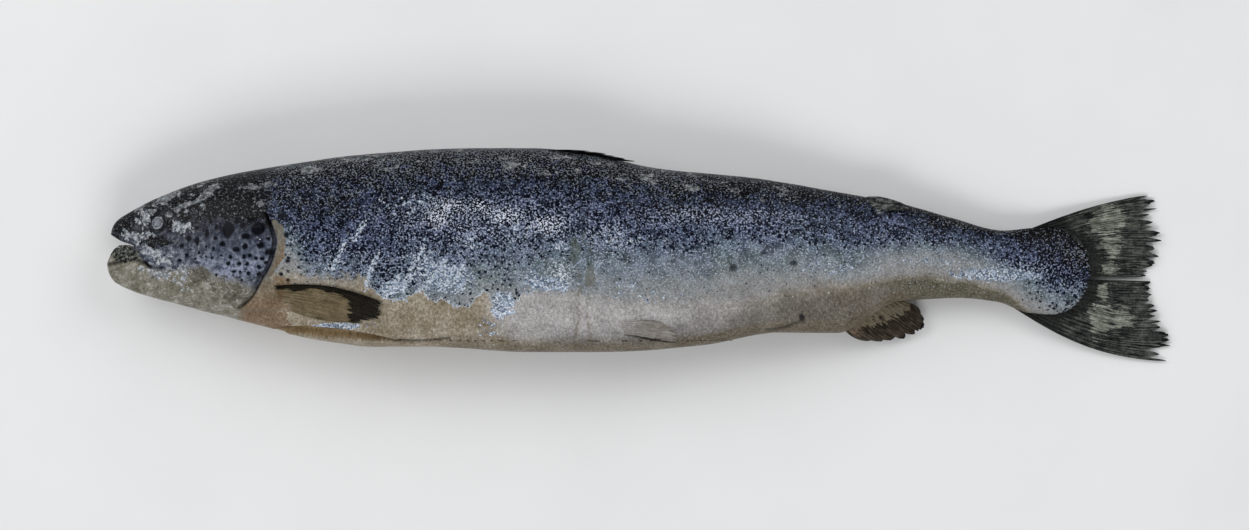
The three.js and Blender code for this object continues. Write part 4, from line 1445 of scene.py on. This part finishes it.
# %% Masks of its spots, lines and scaled part
def head_masks(mesh, plain):
    x, y, _ = plain.T
    behind, orbit, wander = behind_gill_edge(x, y), from_eye(x, y), cloud(x, y, 9, 81)
    head_colour_masks(mesh, x, y, orbit, wander)
    spots = [(sx, sy, SPOT_SWELL * rx, SPOT_SWELL * ry)
             for sx, sy, rx, ry in GILL_SPOTS + CHEEK_SPOTS]
    write_mask(mesh, "spots", 0.98 * spots_at(x, y, spots, 0.17, 0.3))
    rim = ease(1.2, 0.4, np.abs(behind + 0.5)) * ease(-20, -10, y) * gill_window(y)
    # the crack is painted shade: darker along the mouth's groove and in the ring where the eye
    # meets its socket
    crack = 0.3 * stroke(x, y, MOUTH_LINE, 0.5, 0.7)
    crack = crack + 0.3 * ease(0.8, 0.3, np.abs(orbit - EYE_RADIUS - 0.2))
    lip = stroke(x, y + 0.5 * wander, LIP, 1.3, 0.7) * ease(-0.7, 0.0, cloud(x, y, 5, 83))
    write_mask(mesh, "line", np.clip(0.8 * lip + 0.92 * rim + crack, 0, 0.95))
    low = ease(-33, -37, y) * ease(84, 96, x - 0.5 * (y + 37))
    body = np.maximum(ease(1.6, 2.6, behind) * ease(-37, -33, y), low)
    nape = ease(30, 36, y) * ease(102, 114, x)
    write_mask(mesh, "body", np.clip(body * ease(36, 30, y) + nape, 0, 1))
    skin_masks(mesh, plain)


# %% The head's skin, closed at both ends
snout_stations = SNOUT_ROUND * (np.linspace(0.12, 1, 40) ** 2.2)
even_stations = np.linspace(SNOUT_ROUND, HEAD_END, 250)[1:]
head_stations = np.concatenate([snout_stations, even_stations])
head_mesh, _, head_normals = skin_mesh("head_skin", head_stations, True, True)
head = piece_from("head_skin", head_mesh, [HEAD_SKIN, FLESH, SKIN])

# %% [markdown]
# ## The open mouth
# The jaws are parted in front. The gap between them is cut right through the head with a
# boolean, by a prism over the outline of the gap, and the walls of the cut become the mouth's
# lining. Behind the gap the mouth goes on as the groove that the relief already has.

# %% Cutting the mouth
MOUTH_GAP = [
    (-21, -6), (0.7, -4.7), (3.9, 1.8), (5.9, 4.4), (9.1, 6.8), (13.8, 7.1), (18.1, 5.6),
    (19.3, 6.2), (18.7, 6.8), (10.5, 9.5), (3.3, 13.7), (-21, 13.9),
]
MOUTH_REACH = 20  # no wall of the gap lies behind this
WALL_TOUCH = 0.02  # faces this close to the gap's outline are its walls
POLE_EDGES = 20  # only the middle of a closing fan has more edges than this


def prism(name, outline, low, high):
    count = len(outline)
    points = [(x, y, z) for z in (low, high) for x, y in outline]
    faces = [list(range(count))[::-1], list(range(count, 2 * count))]
    faces += [[i, (i + 1) % count, count + (i + 1) % count, count + i] for i in range(count)]
    return mesh_of(name, np.array(points, float), faces, smooth=False)


def cut_mouth(head):
    cutter = bpy.data.objects.new("mouth cutter", prism("mouth cutter", MOUTH_GAP, low=-5, high=90))
    bpy.context.scene.collection.objects.link(cutter)
    boolean = head.modifiers.new("mouth", "BOOLEAN")
    boolean.operation = "DIFFERENCE"
    boolean.solver = "EXACT"
    boolean.object = cutter
    shape = head.evaluated_get(bpy.context.evaluated_depsgraph_get())
    cut = bpy.data.meshes.new_from_object(shape)
    head.modifiers.clear()
    bpy.data.objects.remove(cutter)
    head.data = cut
    return cut


def line_mouth(mesh):
    """The walls of the gap get the lining's material and a sharp rim."""
    x, y, _ = places_of(mesh.polygons, "center").T
    closed = MOUTH_GAP + MOUTH_GAP[:1]
    wall = (distance_to(x, y, closed) < WALL_TOUCH) & (x < MOUTH_REACH)
    mesh.polygons.foreach_set("material_index", wall.astype(np.int32))
    mesh.update()
    mesh.set_sharp_from_angle(angle=math.radians(50))
    print("walls of the mouth:", int(wall.sum()), "faces")


def open_rear(mesh):
    """Takes off the fan that closed the head's rear end while the mouth was cut."""
    work = bmesh.new()
    work.from_mesh(mesh)
    work.verts.ensure_lookup_table()
    rear = max(vertex.co.x for vertex in work.verts)
    poles = [v for v in work.verts if v.co.x > rear - 3 * MM and len(v.link_edges) > POLE_EDGES]
    bmesh.ops.delete(work, geom=poles, context="VERTS")
    work.to_mesh(mesh)
    work.free()
    print("opened the rear of the head,", len(poles), "pole removed")


# %% [markdown]
# ### The seam behind the head
# The boolean keeps the points but loses the slopes that the skin had along its rear ring. They
# are found again by place, so that no line shows where the head meets the shoulder.

# %% Opening the rear and joining the light
cut_head = cut_mouth(head)
open_rear(cut_head)
line_mouth(cut_head)
points = places_of(cut_head.vertices, "co")
head_masks(cut_head, points)
ring_points = places_of(head_mesh.vertices, "co")[-COLUMNS - 2 : -2]
ring_normals = head_normals[-COLUMNS - 2 : -2]
seam_normals = np.zeros((len(points), 3), np.float32)
NEAR_REAR = 2.0
SAME_PLACE = 0.02  # a point and a ring point this close are the same
for i in np.flatnonzero(points[:, 0] > points[:, 0].max() - NEAR_REAR):
    away = np.abs(ring_points - points[i]).sum(axis=1)
    if away.min() < SAME_PLACE:
        seam_normals[i] = ring_normals[int(away.argmin())]
print("rear ring found:", int((np.abs(seam_normals).sum(axis=1) > 0).sum()), "of", COLUMNS)
cut_head.normals_split_custom_set_from_vertices(seam_normals)

# %% [markdown]
# ## Eyes
# An eye is a shallow dome of clear skin over the flat iris of a fish. It is made as a lens and
# set into the hollow of the orbit, leaning with the cheek. The finish needs to know how far a
# place lies from the middle of the eye, so that is written on the points.

# %% A lens for each eye
EYEBALL_RADIUS = 4.8
EYE_DOME = 1.5
EYE_LEAN = (-0.28, -0.34)  # turned with the cheek, in radians about x and y
EYE_SUNK = 0.45


def turned(points, about_x, about_y):
    cx, sx, cy, sy = math.cos(about_x), math.sin(about_x), math.cos(about_y), math.sin(about_y)
    about_x = np.array([[1, 0, 0], [0, cx, -sx], [0, sx, cx]])
    about_y = np.array([[cy, 0, sy], [0, 1, 0], [-sy, 0, cy]])
    return points @ (about_x @ about_y).T


def eye_piece(name, side):
    rings, around = 22, 72
    share = np.linspace(0.04, 1, rings)[:, None]
    turn = np.linspace(0, 2 * math.pi, around, endpoint=False)[None]
    x, y = share * np.cos(turn), share * np.sin(turn)
    pupil = 0.04 * ease(0.62, 0.5, share)
    dome = EYE_DOME * np.sqrt(np.clip(1.002 - share**2, 0, 1)) + pupil + 0 * x
    front = np.stack([EYEBALL_RADIUS * x, EYEBALL_RADIUS * y, dome], -1).reshape(-1, 3)
    back = front * [1, 1, -0.8]
    points = np.vstack([front, back, [[0, 0, EYE_DOME + 0.1]], [[0, 0, -0.8 * EYE_DOME]]])
    faces, half = [], rings * around
    for i in range(rings - 1):
        for j in range(around):
            a, b = i * around + j, i * around + (j + 1) % around
            faces.append([a, a + around, b + around, b])
            faces.append([half + a, half + b, half + b + around, half + a + around])
    for j in range(around):
        a, b = j, (j + 1) % around
        faces.append([2 * half, a, b])
        faces.append([2 * half + 1, half + b, half + a])
        edge = (rings - 1) * around
        faces.append([edge + a, half + edge + a, half + edge + b, edge + b])
    away = np.concatenate([np.tile(np.repeat(share[:, 0], around), 2), [0, 0]])
    flat = points.copy()
    points[:, 2] *= side
    if side < 0:
        faces = [face[::-1] for face in faces]
    points = turned(points, EYE_LEAN[0] * side, EYE_LEAN[1] * side)
    ex, ey = EYE_MIDDLE
    points += [ex, ey, float(skin_height(ex, ey, side)) - EYE_SUNK * side]
    mesh = mesh_of(name, points, faces)
    write_mask(mesh, "from_middle", away)
    # painted shade: the lens's rim is darkened on the side turned away from the window light
    beside = np.hypot(flat[:, 0] + 1.2, flat[:, 1] - 0.4) / EYEBALL_RADIUS
    write_mask(mesh, "dark_side", 0.8 * ease(0.95, 1.15, beside))
    return piece_from(name, mesh, [EYE])


for name, side in (("eye_left", 1), ("eye_right", -1)):
    eye_piece(name, side)

# %% [markdown]
# ## Fins
# A fin is a thin web held up by rays, and each ray splits into finer ones towards its tip.
# On a handled fish the web is torn between the bundles of rays, which gives the frayed edge.
# One function makes every fin: two flowing lines, one along the root and one along the tips,
# a sheet of points between them, ridges where the rays run and slits where the web is torn.


# %% The rays of a fin
def wire_rays(n, given):
    out, across = given["Out"], given["Across"]
    sway = n.noise(n.vector(n.times(out, 3.0), n.times(across, 0.6)), 1.0, 3.0, 0.6)
    across = n.plus(across, n.times(n.minus(sway, 0.5), 0.9))
    strands = n.noise(n.vector(n.times(out, 3.0), n.times(across, 3.4)), 1.0, 7.0, 0.76)
    turn = n.times(across, 2 * math.pi)
    wave = n.between(n.step(out, 0.3, 0.6), n.math("COSINE", turn),
                     n.math("COSINE", n.times(turn, 2.0)))
    joints = n.noise(n.vector(n.times(out, 60.0), given["Across"]), 1.0, 2.0, 0.6)
    return {"Ray": n.step(wave, -1.0, 1.0), "Strands": n.step(strands, 0.3, 0.7),
            "Joints": joints}


rays_group = node_group(
    "Fin rays", [("Out", NUMBER, 0.0), ("Across", NUMBER, 0.0)],
    [("Ray", NUMBER), ("Strands", NUMBER), ("Joints", NUMBER)], wire_rays,
)
print("fin rays:", len(rays_group.nodes), "nodes")

# %% [markdown]
# ### Fin skin
# All fins share one finish with different colours: a web from dark to light strands, patches
# rubbed pale, a fleshy root and worn tips. The edges of the last three run along the rays,
# because the web tears that way, so their torn edge is worked out in the fin's own directions.

# %% Fin skin
FIN_MASKS = ["pale", "root", "tip"]
FIN_TEARING = (2.8, 1.9, 1.4)


def fin_skin(name, web, pale, root, tip):
    """Colours of the web from its darkest strands to its lightest, then two colours each of
    the rubbed patches, the fleshy root and the tips."""
    material, n = new_material(name)
    out, across = n.mask("fin_out"), n.mask("fin_across")
    rays = n.place(rays_group, {"Out": out, "Across": across})
    place = n.add("ShaderNodeVectorMath", {0: n.add("ShaderNodeTexCoord", {}, "Object"),
                                           3: 1 / MM}, operation="SCALE")
    cloudy = n.noise(place, 0.17, 5.0, 0.7)
    grain = n.place(grain_group, {"Place": place, "Per mm": 0.9})["Grain"]
    along_rays = n.vector(n.times(out, 14.0), n.times(across, 3.6))
    shows = {mask: torn(n, along_rays, n.mask(mask), 0.4, tearing)["Mask"]
             for mask, tearing in zip(FIN_MASKS, FIN_TEARING)}
    tone = n.plus(n.times(rays["Strands"], 0.62), n.times(rays["Ray"], 0.14))
    tone = n.plus(tone, n.times(n.minus(cloudy, 0.5), 1.1))
    tone = n.plus(tone, n.times(n.minus(grain, 0.5), 0.22))
    colour = n.ramp(tone, list(zip((0.12, 0.38, 0.7), web)))
    fleshy = n.ramp(n.between(0.5, rays["Strands"], grain), list(zip((0.3, 0.7), root)))
    colour = n.blend(shows["root"], colour, fleshy)
    rub = n.times(shows["pale"], n.step(rays["Strands"], 0.15, 0.5, 0.35, 0.95))
    colour = n.blend(rub, colour, n.ramp(tone, list(zip((0.2, 0.65), pale))))
    worn = n.ramp(n.between(0.5, tone, grain), list(zip((0.3, 0.75), tip)))
    colour = n.blend(n.times(shows["tip"], 0.95), colour, worn)
    height = n.plus(rays["Ray"], n.times(rays["Strands"], 1.2))
    height = n.plus(height, n.times(rays["Joints"], 0.25))
    return finished(material, n, {
        "Base Color": colour, "Roughness": n.between(cloudy, 0.36, 0.6),
        "Specular IOR Level": 0.05, "Coat Weight": 0.08, "Coat Roughness": 0.14,
        "Coat IOR": 1.4}, height, 0.6, 0.0004)


# %% The finish of each fin
TAIL_SKIN = fin_skin("tail fin skin", [(12, 14, 14), (50, 54, 52), (108, 112, 104)],
                     [(96, 101, 92), (178, 182, 168)], [(14, 15, 16), (52, 54, 51)],
                     [(3, 4, 4), (26, 28, 28)])
PECTORAL_SKIN = fin_skin("pectoral fin skin", [(84, 74, 53), (116, 104, 80), (142, 128, 102)],
                         [(88, 84, 70), (124, 118, 100)], [(96, 80, 58), (126, 108, 82)],
                         [(2, 2, 2), (30, 28, 24)])
PELVIC_SKIN = fin_skin("pelvic fin skin", [(122, 115, 105), (150, 144, 138), (170, 165, 160)],
                       [(126, 119, 108), (168, 162, 156)], [(132, 125, 114), (156, 150, 143)],
                       [(24, 19, 14), (44, 37, 30)])
ANAL_SKIN = fin_skin("anal fin skin", [(26, 22, 16), (54, 47, 37), (88, 77, 64)],
                     [(92, 76, 62), (134, 114, 100)], [(98, 90, 72), (126, 118, 100)],
                     [(6, 5, 4), (34, 31, 26)])
BACK_FIN_SKIN = fin_skin("back fin skin", [(12, 13, 14), (34, 36, 37), (76, 78, 76)],
                         [(84, 86, 86), (120, 122, 118)], [(24, 25, 27), (56, 58, 60)],
                         [(6, 7, 8), (24, 26, 28)])


# %% [markdown]
# ### The fin maker
# A fin could be a flat sheet with a painted edge, but then it would have no thickness and no
# gaps between its rays. Here every column of points runs from the root to its own torn end, the
# sheet is thicker on the rays than between them, and a rim of faces closes it all round.

# %% Torn ends and the sheet between them
FIN_ROWS = 60
COLUMNS_PER_RAY = 14
FIN_CLEARANCE = 0.3  # no fin lies lower than this above the table


def torn_reach(across, bundles, depth, seed):
    """How far out each column reaches: bundles of rays end in points with gaps between them."""
    chance = np.random.default_rng(seed)
    wander = np.concatenate([[0], chance.uniform(-0.32, 0.32, bundles - 1), [0]])
    cuts = (np.arange(bundles + 1) + wander) / bundles
    number = np.clip(np.searchsorted(cuts, across) - 1, 0, bundles - 1)
    half = np.diff(cuts)[number] / 2
    point = (cuts[:-1] + cuts[1:])[number] / 2 + chance.uniform(-0.35, 0.35, bundles)[number] * half
    aside = np.clip(np.abs(across - point) / (1.35 * half), 0, 1)
    shorter = 0.5 * depth * chance.random(bundles)[number]
    deep = depth * chance.uniform(0.35, 1, bundles)[number]
    frayed = 0.16 * depth * cloud(across * 90, across * 0, 2.2, seed, 2)
    return 1 - shorter - deep * aside**1.5 - np.abs(frayed)


def fin_mesh(name, roots, tips, bow, rays, height, half, bundles, depth, seed, rear=1.0):
    columns = rays * COLUMNS_PER_RAY + 1
    across = np.linspace(0, 1, columns)
    root, tip = smooth_line(roots, columns), smooth_line(tips, columns)
    out = np.linspace(0, 1, FIN_ROWS)[:, None] ** 0.9
    go = out * torn_reach(across, bundles, depth, seed)
    x = mix(root[:, 0], tip[:, 0], go)
    y = mix(root[:, 1], tip[:, 1], go) + mix(bow[0], bow[1], across) * np.sin(math.pi * go)
    z = height(x, y, out) + 0.5 * go * cloud(9 * across * rays / 4 + 0 * go, 4 * go, 3, seed + 3)
    turn = 2 * math.pi * rays * across
    ray = mix(np.cos(turn), np.cos(2 * turn), ease(0.3, 0.6, go))
    thick = mix(half[0], half[1], go) * (0.72 + 0.28 * ray) * mix(1, rear, across)
    under = np.maximum(z - thick, FIN_CLEARANCE)
    upper = under + 2 * thick
    top = np.stack([x, y, upper], -1).reshape(-1, 3)
    bottom = np.stack([x, y, under], -1).reshape(-1, 3)
    count = len(top)
    i, j = np.meshgrid(np.arange(FIN_ROWS - 1), np.arange(columns - 1), indexing="ij")
    a = (i * columns + j).ravel()
    quads = np.stack([a, a + 1, a + columns + 1, a + columns], -1)
    edge_rows = np.arange(FIN_ROWS - 1) * columns
    edge_columns = np.arange(columns - 1)
    sides = []
    for first, second in (
        (edge_rows, edge_rows + columns),
        (edge_rows + 2 * columns - 1, edge_rows + columns - 1),
        ((FIN_ROWS - 1) * columns + edge_columns, (FIN_ROWS - 1) * columns + edge_columns + 1),
        (edge_columns + 1, edge_columns),
    ):
        sides.append(np.stack([first, second, second + count, first + count], -1))
    faces = np.vstack([quads, quads[:, ::-1] + count, *sides])
    points = np.vstack([top, bottom])
    a, b, c = (points[quads[len(quads) // 2][k]] for k in (0, 1, 2))
    if np.cross(b - a, c - a)[2] < 0:  # the top has to face up
        faces = faces[:, ::-1]
    mesh = mesh_of(name, points, faces)
    mesh.set_sharp_from_angle(angle=math.radians(70))

    def both(values):
        """One value for each point of the top, and again for the bottom."""
        return np.tile((values + 0 * x).ravel(), 2)

    write_mask(mesh, "fin_out", both(go))
    write_mask(mesh, "fin_across", both(across * rays))
    return mesh, both(x), both(y), both(go), both(across)


def finish_fin(name, mesh, material, pale, root, tip):
    for mask, values in zip(FIN_MASKS, (pale, root, tip)):
        write_mask(mesh, mask, values)
    return piece_from(name, mesh, [material])


# %% [markdown]
# ### The tail fin
# Two lobes, torn apart below the middle, grow out of the end of the scaled flesh. They sink
# on to the table, which the far ends touch. Pale, rubbed patches cross the dark web.

# %% Tail fin
TAIL_PALE = [
    (659, 23.5, 12, 10), (662, 7, 7, 8), (660, -9, 5.5, 4.5), (656, -24, 3.5, 6),
    (654.5, -42, 8, 11), (667.5, -42, 8.5, 9),
]


def tail_height(x, y, out):
    return mix(middle_height(x), 2.2 + 1.1 * np.sin(0.12 * y), out)


TAIL_LOBES = {
    "tail_fin_upper": dict(
        roots=[(600.6, 15), (619.5, 11.4), (640.5, 2.7), (642.6, -13.4)],
        tips=[(695.5, 42.2), (694.5, 27), (696.5, 12.1), (693, -2.7), (686.5, -14.3)],
        bow=(3.5, 0), rays=16, bundles=14, depth=0.22, seed=12),
    "tail_fin_lower": dict(
        roots=[(642.6, -15.4), (639.8, -26.8), (619.5, -34.8), (588, -28.8)],
        tips=[(689, -16.8), (692, -29.5), (696.5, -40.9), (702.5, -54.9), (701, -70.4)],
        bow=(0, -10), rays=16, bundles=14, depth=0.18, seed=24),
}
for name, form in TAIL_LOBES.items():
    mesh, x, y, out, across = fin_mesh(name, height=tail_height, half=(1.9, 0.45), **form)
    pale = 0.84 * most_of(x, y, TAIL_PALE, 0.9)
    root = 0.72 * ease(24, 3, x - flesh_end(y))
    finish_fin(name, mesh, TAIL_SKIN, pale, root, 0.75 * ease(0.8, 0.98, out))

# %% [markdown]
# ### Fins of the body
# The paired fins lie back against the flanks, the fin of the back is folded down along the
# ridge, and the fin behind the vent spreads from a fleshy base. Each lies just on the skin.

# %% Anal and back fins
mesh, x, y, out, across = fin_mesh(
    "anal_fin", roots=[(478.9, -43.3), (494.7, -34.8), (512.1, -31), (523, -29.7)],
    tips=[(498, -56.5), (516.5, -57), (531.5, -53.5), (538.6, -46.2), (535.1, -35)],
    height=lambda x, y, out: mix(middle_height(x), 6, out * out),
    bow=(-2.5, 1), rays=12, half=(2.4, 0.4), bundles=9, depth=0.16, seed=38)
finish_fin("anal_fin", mesh, ANAL_SKIN,
           pale=0.7 * patch(x, y, (491, -49), (8, 3.6), -20, 0.7),
           root=0.85 * ease(0.75, 0.1, out), tip=0.7 * ease(0.75, 0.97, out))

mesh, x, y, out, across = fin_mesh(
    "dorsal_fin", roots=[(269.5, 67.7), (294, 66.6), (318.5, 63.7)],
    tips=[(316.4, 68.7), (334.6, 65.4), (352.1, 60.6)],
    height=lambda x, y, out: middle_height(x) + mix(2, 11, out),
    bow=(1, 0), rays=11, half=(1.6, 0.4), bundles=8, depth=0.25, seed=42)
finish_fin("dorsal_fin", mesh, BACK_FIN_SKIN, pale=0.3 + 0.3 * cloud(x, y, 9, 97),
           root=0.6 * (1 - out), tip=0.7 * ease(0.8, 1, out))


# %% Paired fins
def lying_on(side, low, high, sunk):
    """The height of a fin that lies on a flank, with its root sunk in the skin."""

    def height(x, y, out):
        hidden = 1.2 * ease(0.3, 0, out) * ease(sunk + 5, sunk, y)
        hidden = hidden + 1.2 * ease(0.05, 0, out)
        return skin_height(x, y, side) + side * (mix(low, high, out) - hidden)

    return height


for side, label in ((1, "left"), (-1, "right")):
    name = f"pectoral_fin_{label}"
    mesh, x, y, out, across = fin_mesh(
        name, roots=[(111, -19.6), (111.8, -25.8), (113.4, -32)],
        tips=[(183.8, -30.2), (184.4, -36.5), (179, -42.2), (169, -44.4), (160.8, -43.6)],
        height=lying_on(side, -0.6, 1.2, sunk=-32),
        bow=(5.2, -2.9), rays=12, half=(1.5, 0.4), bundles=15, depth=0.14, seed=54, rear=0.4)
    from_front = across * mix(10.6, 16, out)
    thick = 1.7 + 1.0 * ease(138, 120, x) + 1.6 * ease(152, 164, x)
    edge = 0.5 + (thick - from_front + 0.8 * cloud(x, y, 7, 98)) / 3
    black = np.maximum(edge, 0.5 + (x - 161 - 0.1 * (y + 36)) / 12)
    finish_fin(name, mesh, PECTORAL_SKIN, pale=0.25 * ease(0.6, 0.9, across),
               root=0.8 * ease(0.2, 0.02, out), tip=np.clip(black, 0, 0.9))

    name = f"pelvic_fin_{label}"
    mesh, x, y, out, across = fin_mesh(
        name, roots=[(336.2, -42.4), (336.9, -47), (338.2, -51.6)],
        tips=[(364.8, -43.1), (374, -48.3), (377.3, -53.6), (376.1, -57.6)],
        height=lying_on(side, -0.5, 0.3, sunk=-60),
        bow=(1, -0.5), rays=9, half=(1.0, 0.3), bundles=8, depth=0.2, seed=62)
    black = 0.5 + (across - 0.86) * 3.4
    finish_fin(name, mesh, PELVIC_SKIN, pale=0.4 + 0 * x,
               root=0.9 * ease(0.45, 0.1, out), tip=np.clip(black, 0, 0.8))

# %% [markdown]
# ### The adipose fin
# This small fleshy lobe near the tail has no rays. It lies folded back on the flank, so it is
# a flattened ball, leaned into place and made uneven, and it shares the finish of the back fin.


# %% Adipose fin
def soft_lobe(name, middle, reach, lean, seed):
    rings, around = 40, 72
    fall = np.linspace(0.02, math.pi - 0.02, rings)[:, None]
    turn = np.linspace(0, 2 * math.pi, around, endpoint=False)[None]
    ball = np.stack([np.cos(fall) + 0 * turn, np.sin(fall) * np.cos(turn),
                     np.sin(fall) * np.sin(turn)], -1).reshape(-1, 3)
    uneven = 1 + 0.1 * cloud(9 * ball[:, 0], 9 * ball[:, 1], 6, seed)
    points = ball * reach * uneven[:, None]
    points[:, 1] *= 1 - 0.3 * (points[:, 0] / reach[0])
    cz, sz = math.cos(lean[2]), math.sin(lean[2])
    points = points @ np.array([[cz, -sz, 0], [sz, cz, 0], [0, 0, 1]]).T
    points = turned(points, lean[0], lean[1]) + middle
    i, j = np.meshgrid(np.arange(rings - 1), np.arange(around), indexing="ij")
    a, b = (i * around + j).ravel(), (i * around + (j + 1) % around).ravel()
    faces = [list(face) for face in np.stack([a, b, b + around, a + around], -1)]
    faces += [list(range(around))[::-1], list(range((rings - 1) * around, rings * around))]
    return mesh_of(name, points, faces), points


lobe_x, lobe_y = 0.73 * LENGTH, 0.252 * DEPTH
lobe_middle = [lobe_x, lobe_y, float(skin_height(lobe_x, lobe_y, 1)) + 0.4]
lobe, points = soft_lobe("adipose_fin", lobe_middle, lean=(-0.75, 0.05, -0.16), seed=99,
                         reach=[0.022 * LENGTH, 0.042 * DEPTH, 1.8])
out = (points[:, 0] - lobe_x) / 30 + 0.5
write_mask(lobe, "fin_out", out)
write_mask(lobe, "fin_across", (points[:, 1] - lobe_y) / 3)
finish_fin("adipose_fin", lobe, BACK_FIN_SKIN,
           pale=0.45 + 0.3 * cloud(points[:, 0], points[:, 1], 12, 97), root=0 * out,
           tip=0.7 * ease(0.8, 1.2, out))

# %% [markdown]
# ## Floor, light and camera
# A plain pale floor, three soft lights round the fish and dim surroundings. A light straight
# above would be mirrored by the whole wet back and turn it grey, so all three stand low and
# to the sides, which also lets every scale throw its small shadow. The camera looks straight
# down through a long lens, so that the fish shows its true outline.

# %% Floor, lights and camera
CAMERA_LENS = 135.0
CAMERA_HEIGHT = 3.10
VIEW_MIDDLE = (-0.0108, -0.0063)
FLOOR_HALF = 6.0
FLOOR_LEVEL = -0.0002  # a hair below the fish, so the two faces don't fight


def pale_floor():
    material, n = new_material("pale floor")
    place = n.add("ShaderNodeTexCoord", {}, "Object")
    grain = n.noise(place, 8.0, 3.0, 0.5)
    colour = n.ramp(grain, [(0.3, (238, 238, 238)), (0.7, (242, 242, 242))])
    return finished(material, n, {"Base Color": colour, "Roughness": 0.9}, grain, 0.05, 0.001)


floor_mesh = bpy.data.meshes.new("floor")
corners = [(FLOOR_HALF * u, FLOOR_HALF * v, FLOOR_LEVEL)
           for u, v in ((-1, -1), (1, -1), (1, 1), (-1, 1))]
floor_mesh.from_pydata(corners, [], [(0, 1, 2, 3)])
floor_mesh.materials.append(pale_floor())
floor = bpy.data.objects.new("floor", floor_mesh)
bpy.context.scene.collection.objects.link(floor)


def soft_light(name, place, size, power):
    lamp = bpy.data.lights.new(name, "AREA")
    lamp.shape = "RECTANGLE"
    lamp.size, lamp.size_y = size
    lamp.energy = power
    light = bpy.data.objects.new(name, lamp)
    light.location = place
    light.rotation_euler = (-light.location).to_track_quat("-Z", "Y").to_euler()
    bpy.context.scene.collection.objects.link(light)
    print(f"{name}: {power} W")


soft_light("window light", (-1.6, 0.9, 1.6), (1.8, 1.5), 23)
soft_light("far light", (1.4, 1.3, 1.8), (1.8, 1.5), 17)
soft_light("room light", (0.2, -1.9, 1.9), (2.0, 1.0), 25)


def dim_overhead(name):
    """Surroundings that are bright along the horizon and dark overhead, so that black skin
    facing up stays black."""
    world = bpy.data.worlds.new(name)
    world.use_nodes = True
    world.node_tree.nodes.clear()
    n = Network(world.node_tree)
    direction = n.add("ShaderNodeTexCoord", {}, "Generated")
    _, _, height = n.parts(direction)
    strength = n.step(height, 0.4, 0.92, 0.66, 0.05)
    sky = n.add("ShaderNodeBackground", {"Color": (0.95, 0.97, 1.0, 1), "Strength": strength})
    n.add("ShaderNodeOutputWorld", {"Surface": sky}, None)
    return world


bpy.context.scene.world = dim_overhead("room")
bpy.context.scene.view_settings.view_transform = "Standard"

# %% The camera
camera_data = bpy.data.cameras.new("camera")
camera_data.lens = CAMERA_LENS
camera_data.sensor_width = 36.0
camera = bpy.data.objects.new("camera", camera_data)
camera.location = (*VIEW_MIDDLE, CAMERA_HEIGHT)
bpy.context.scene.collection.objects.link(camera)
bpy.context.scene.camera = camera
print("camera", CAMERA_HEIGHT, "m up, lens", CAMERA_LENS, "mm")
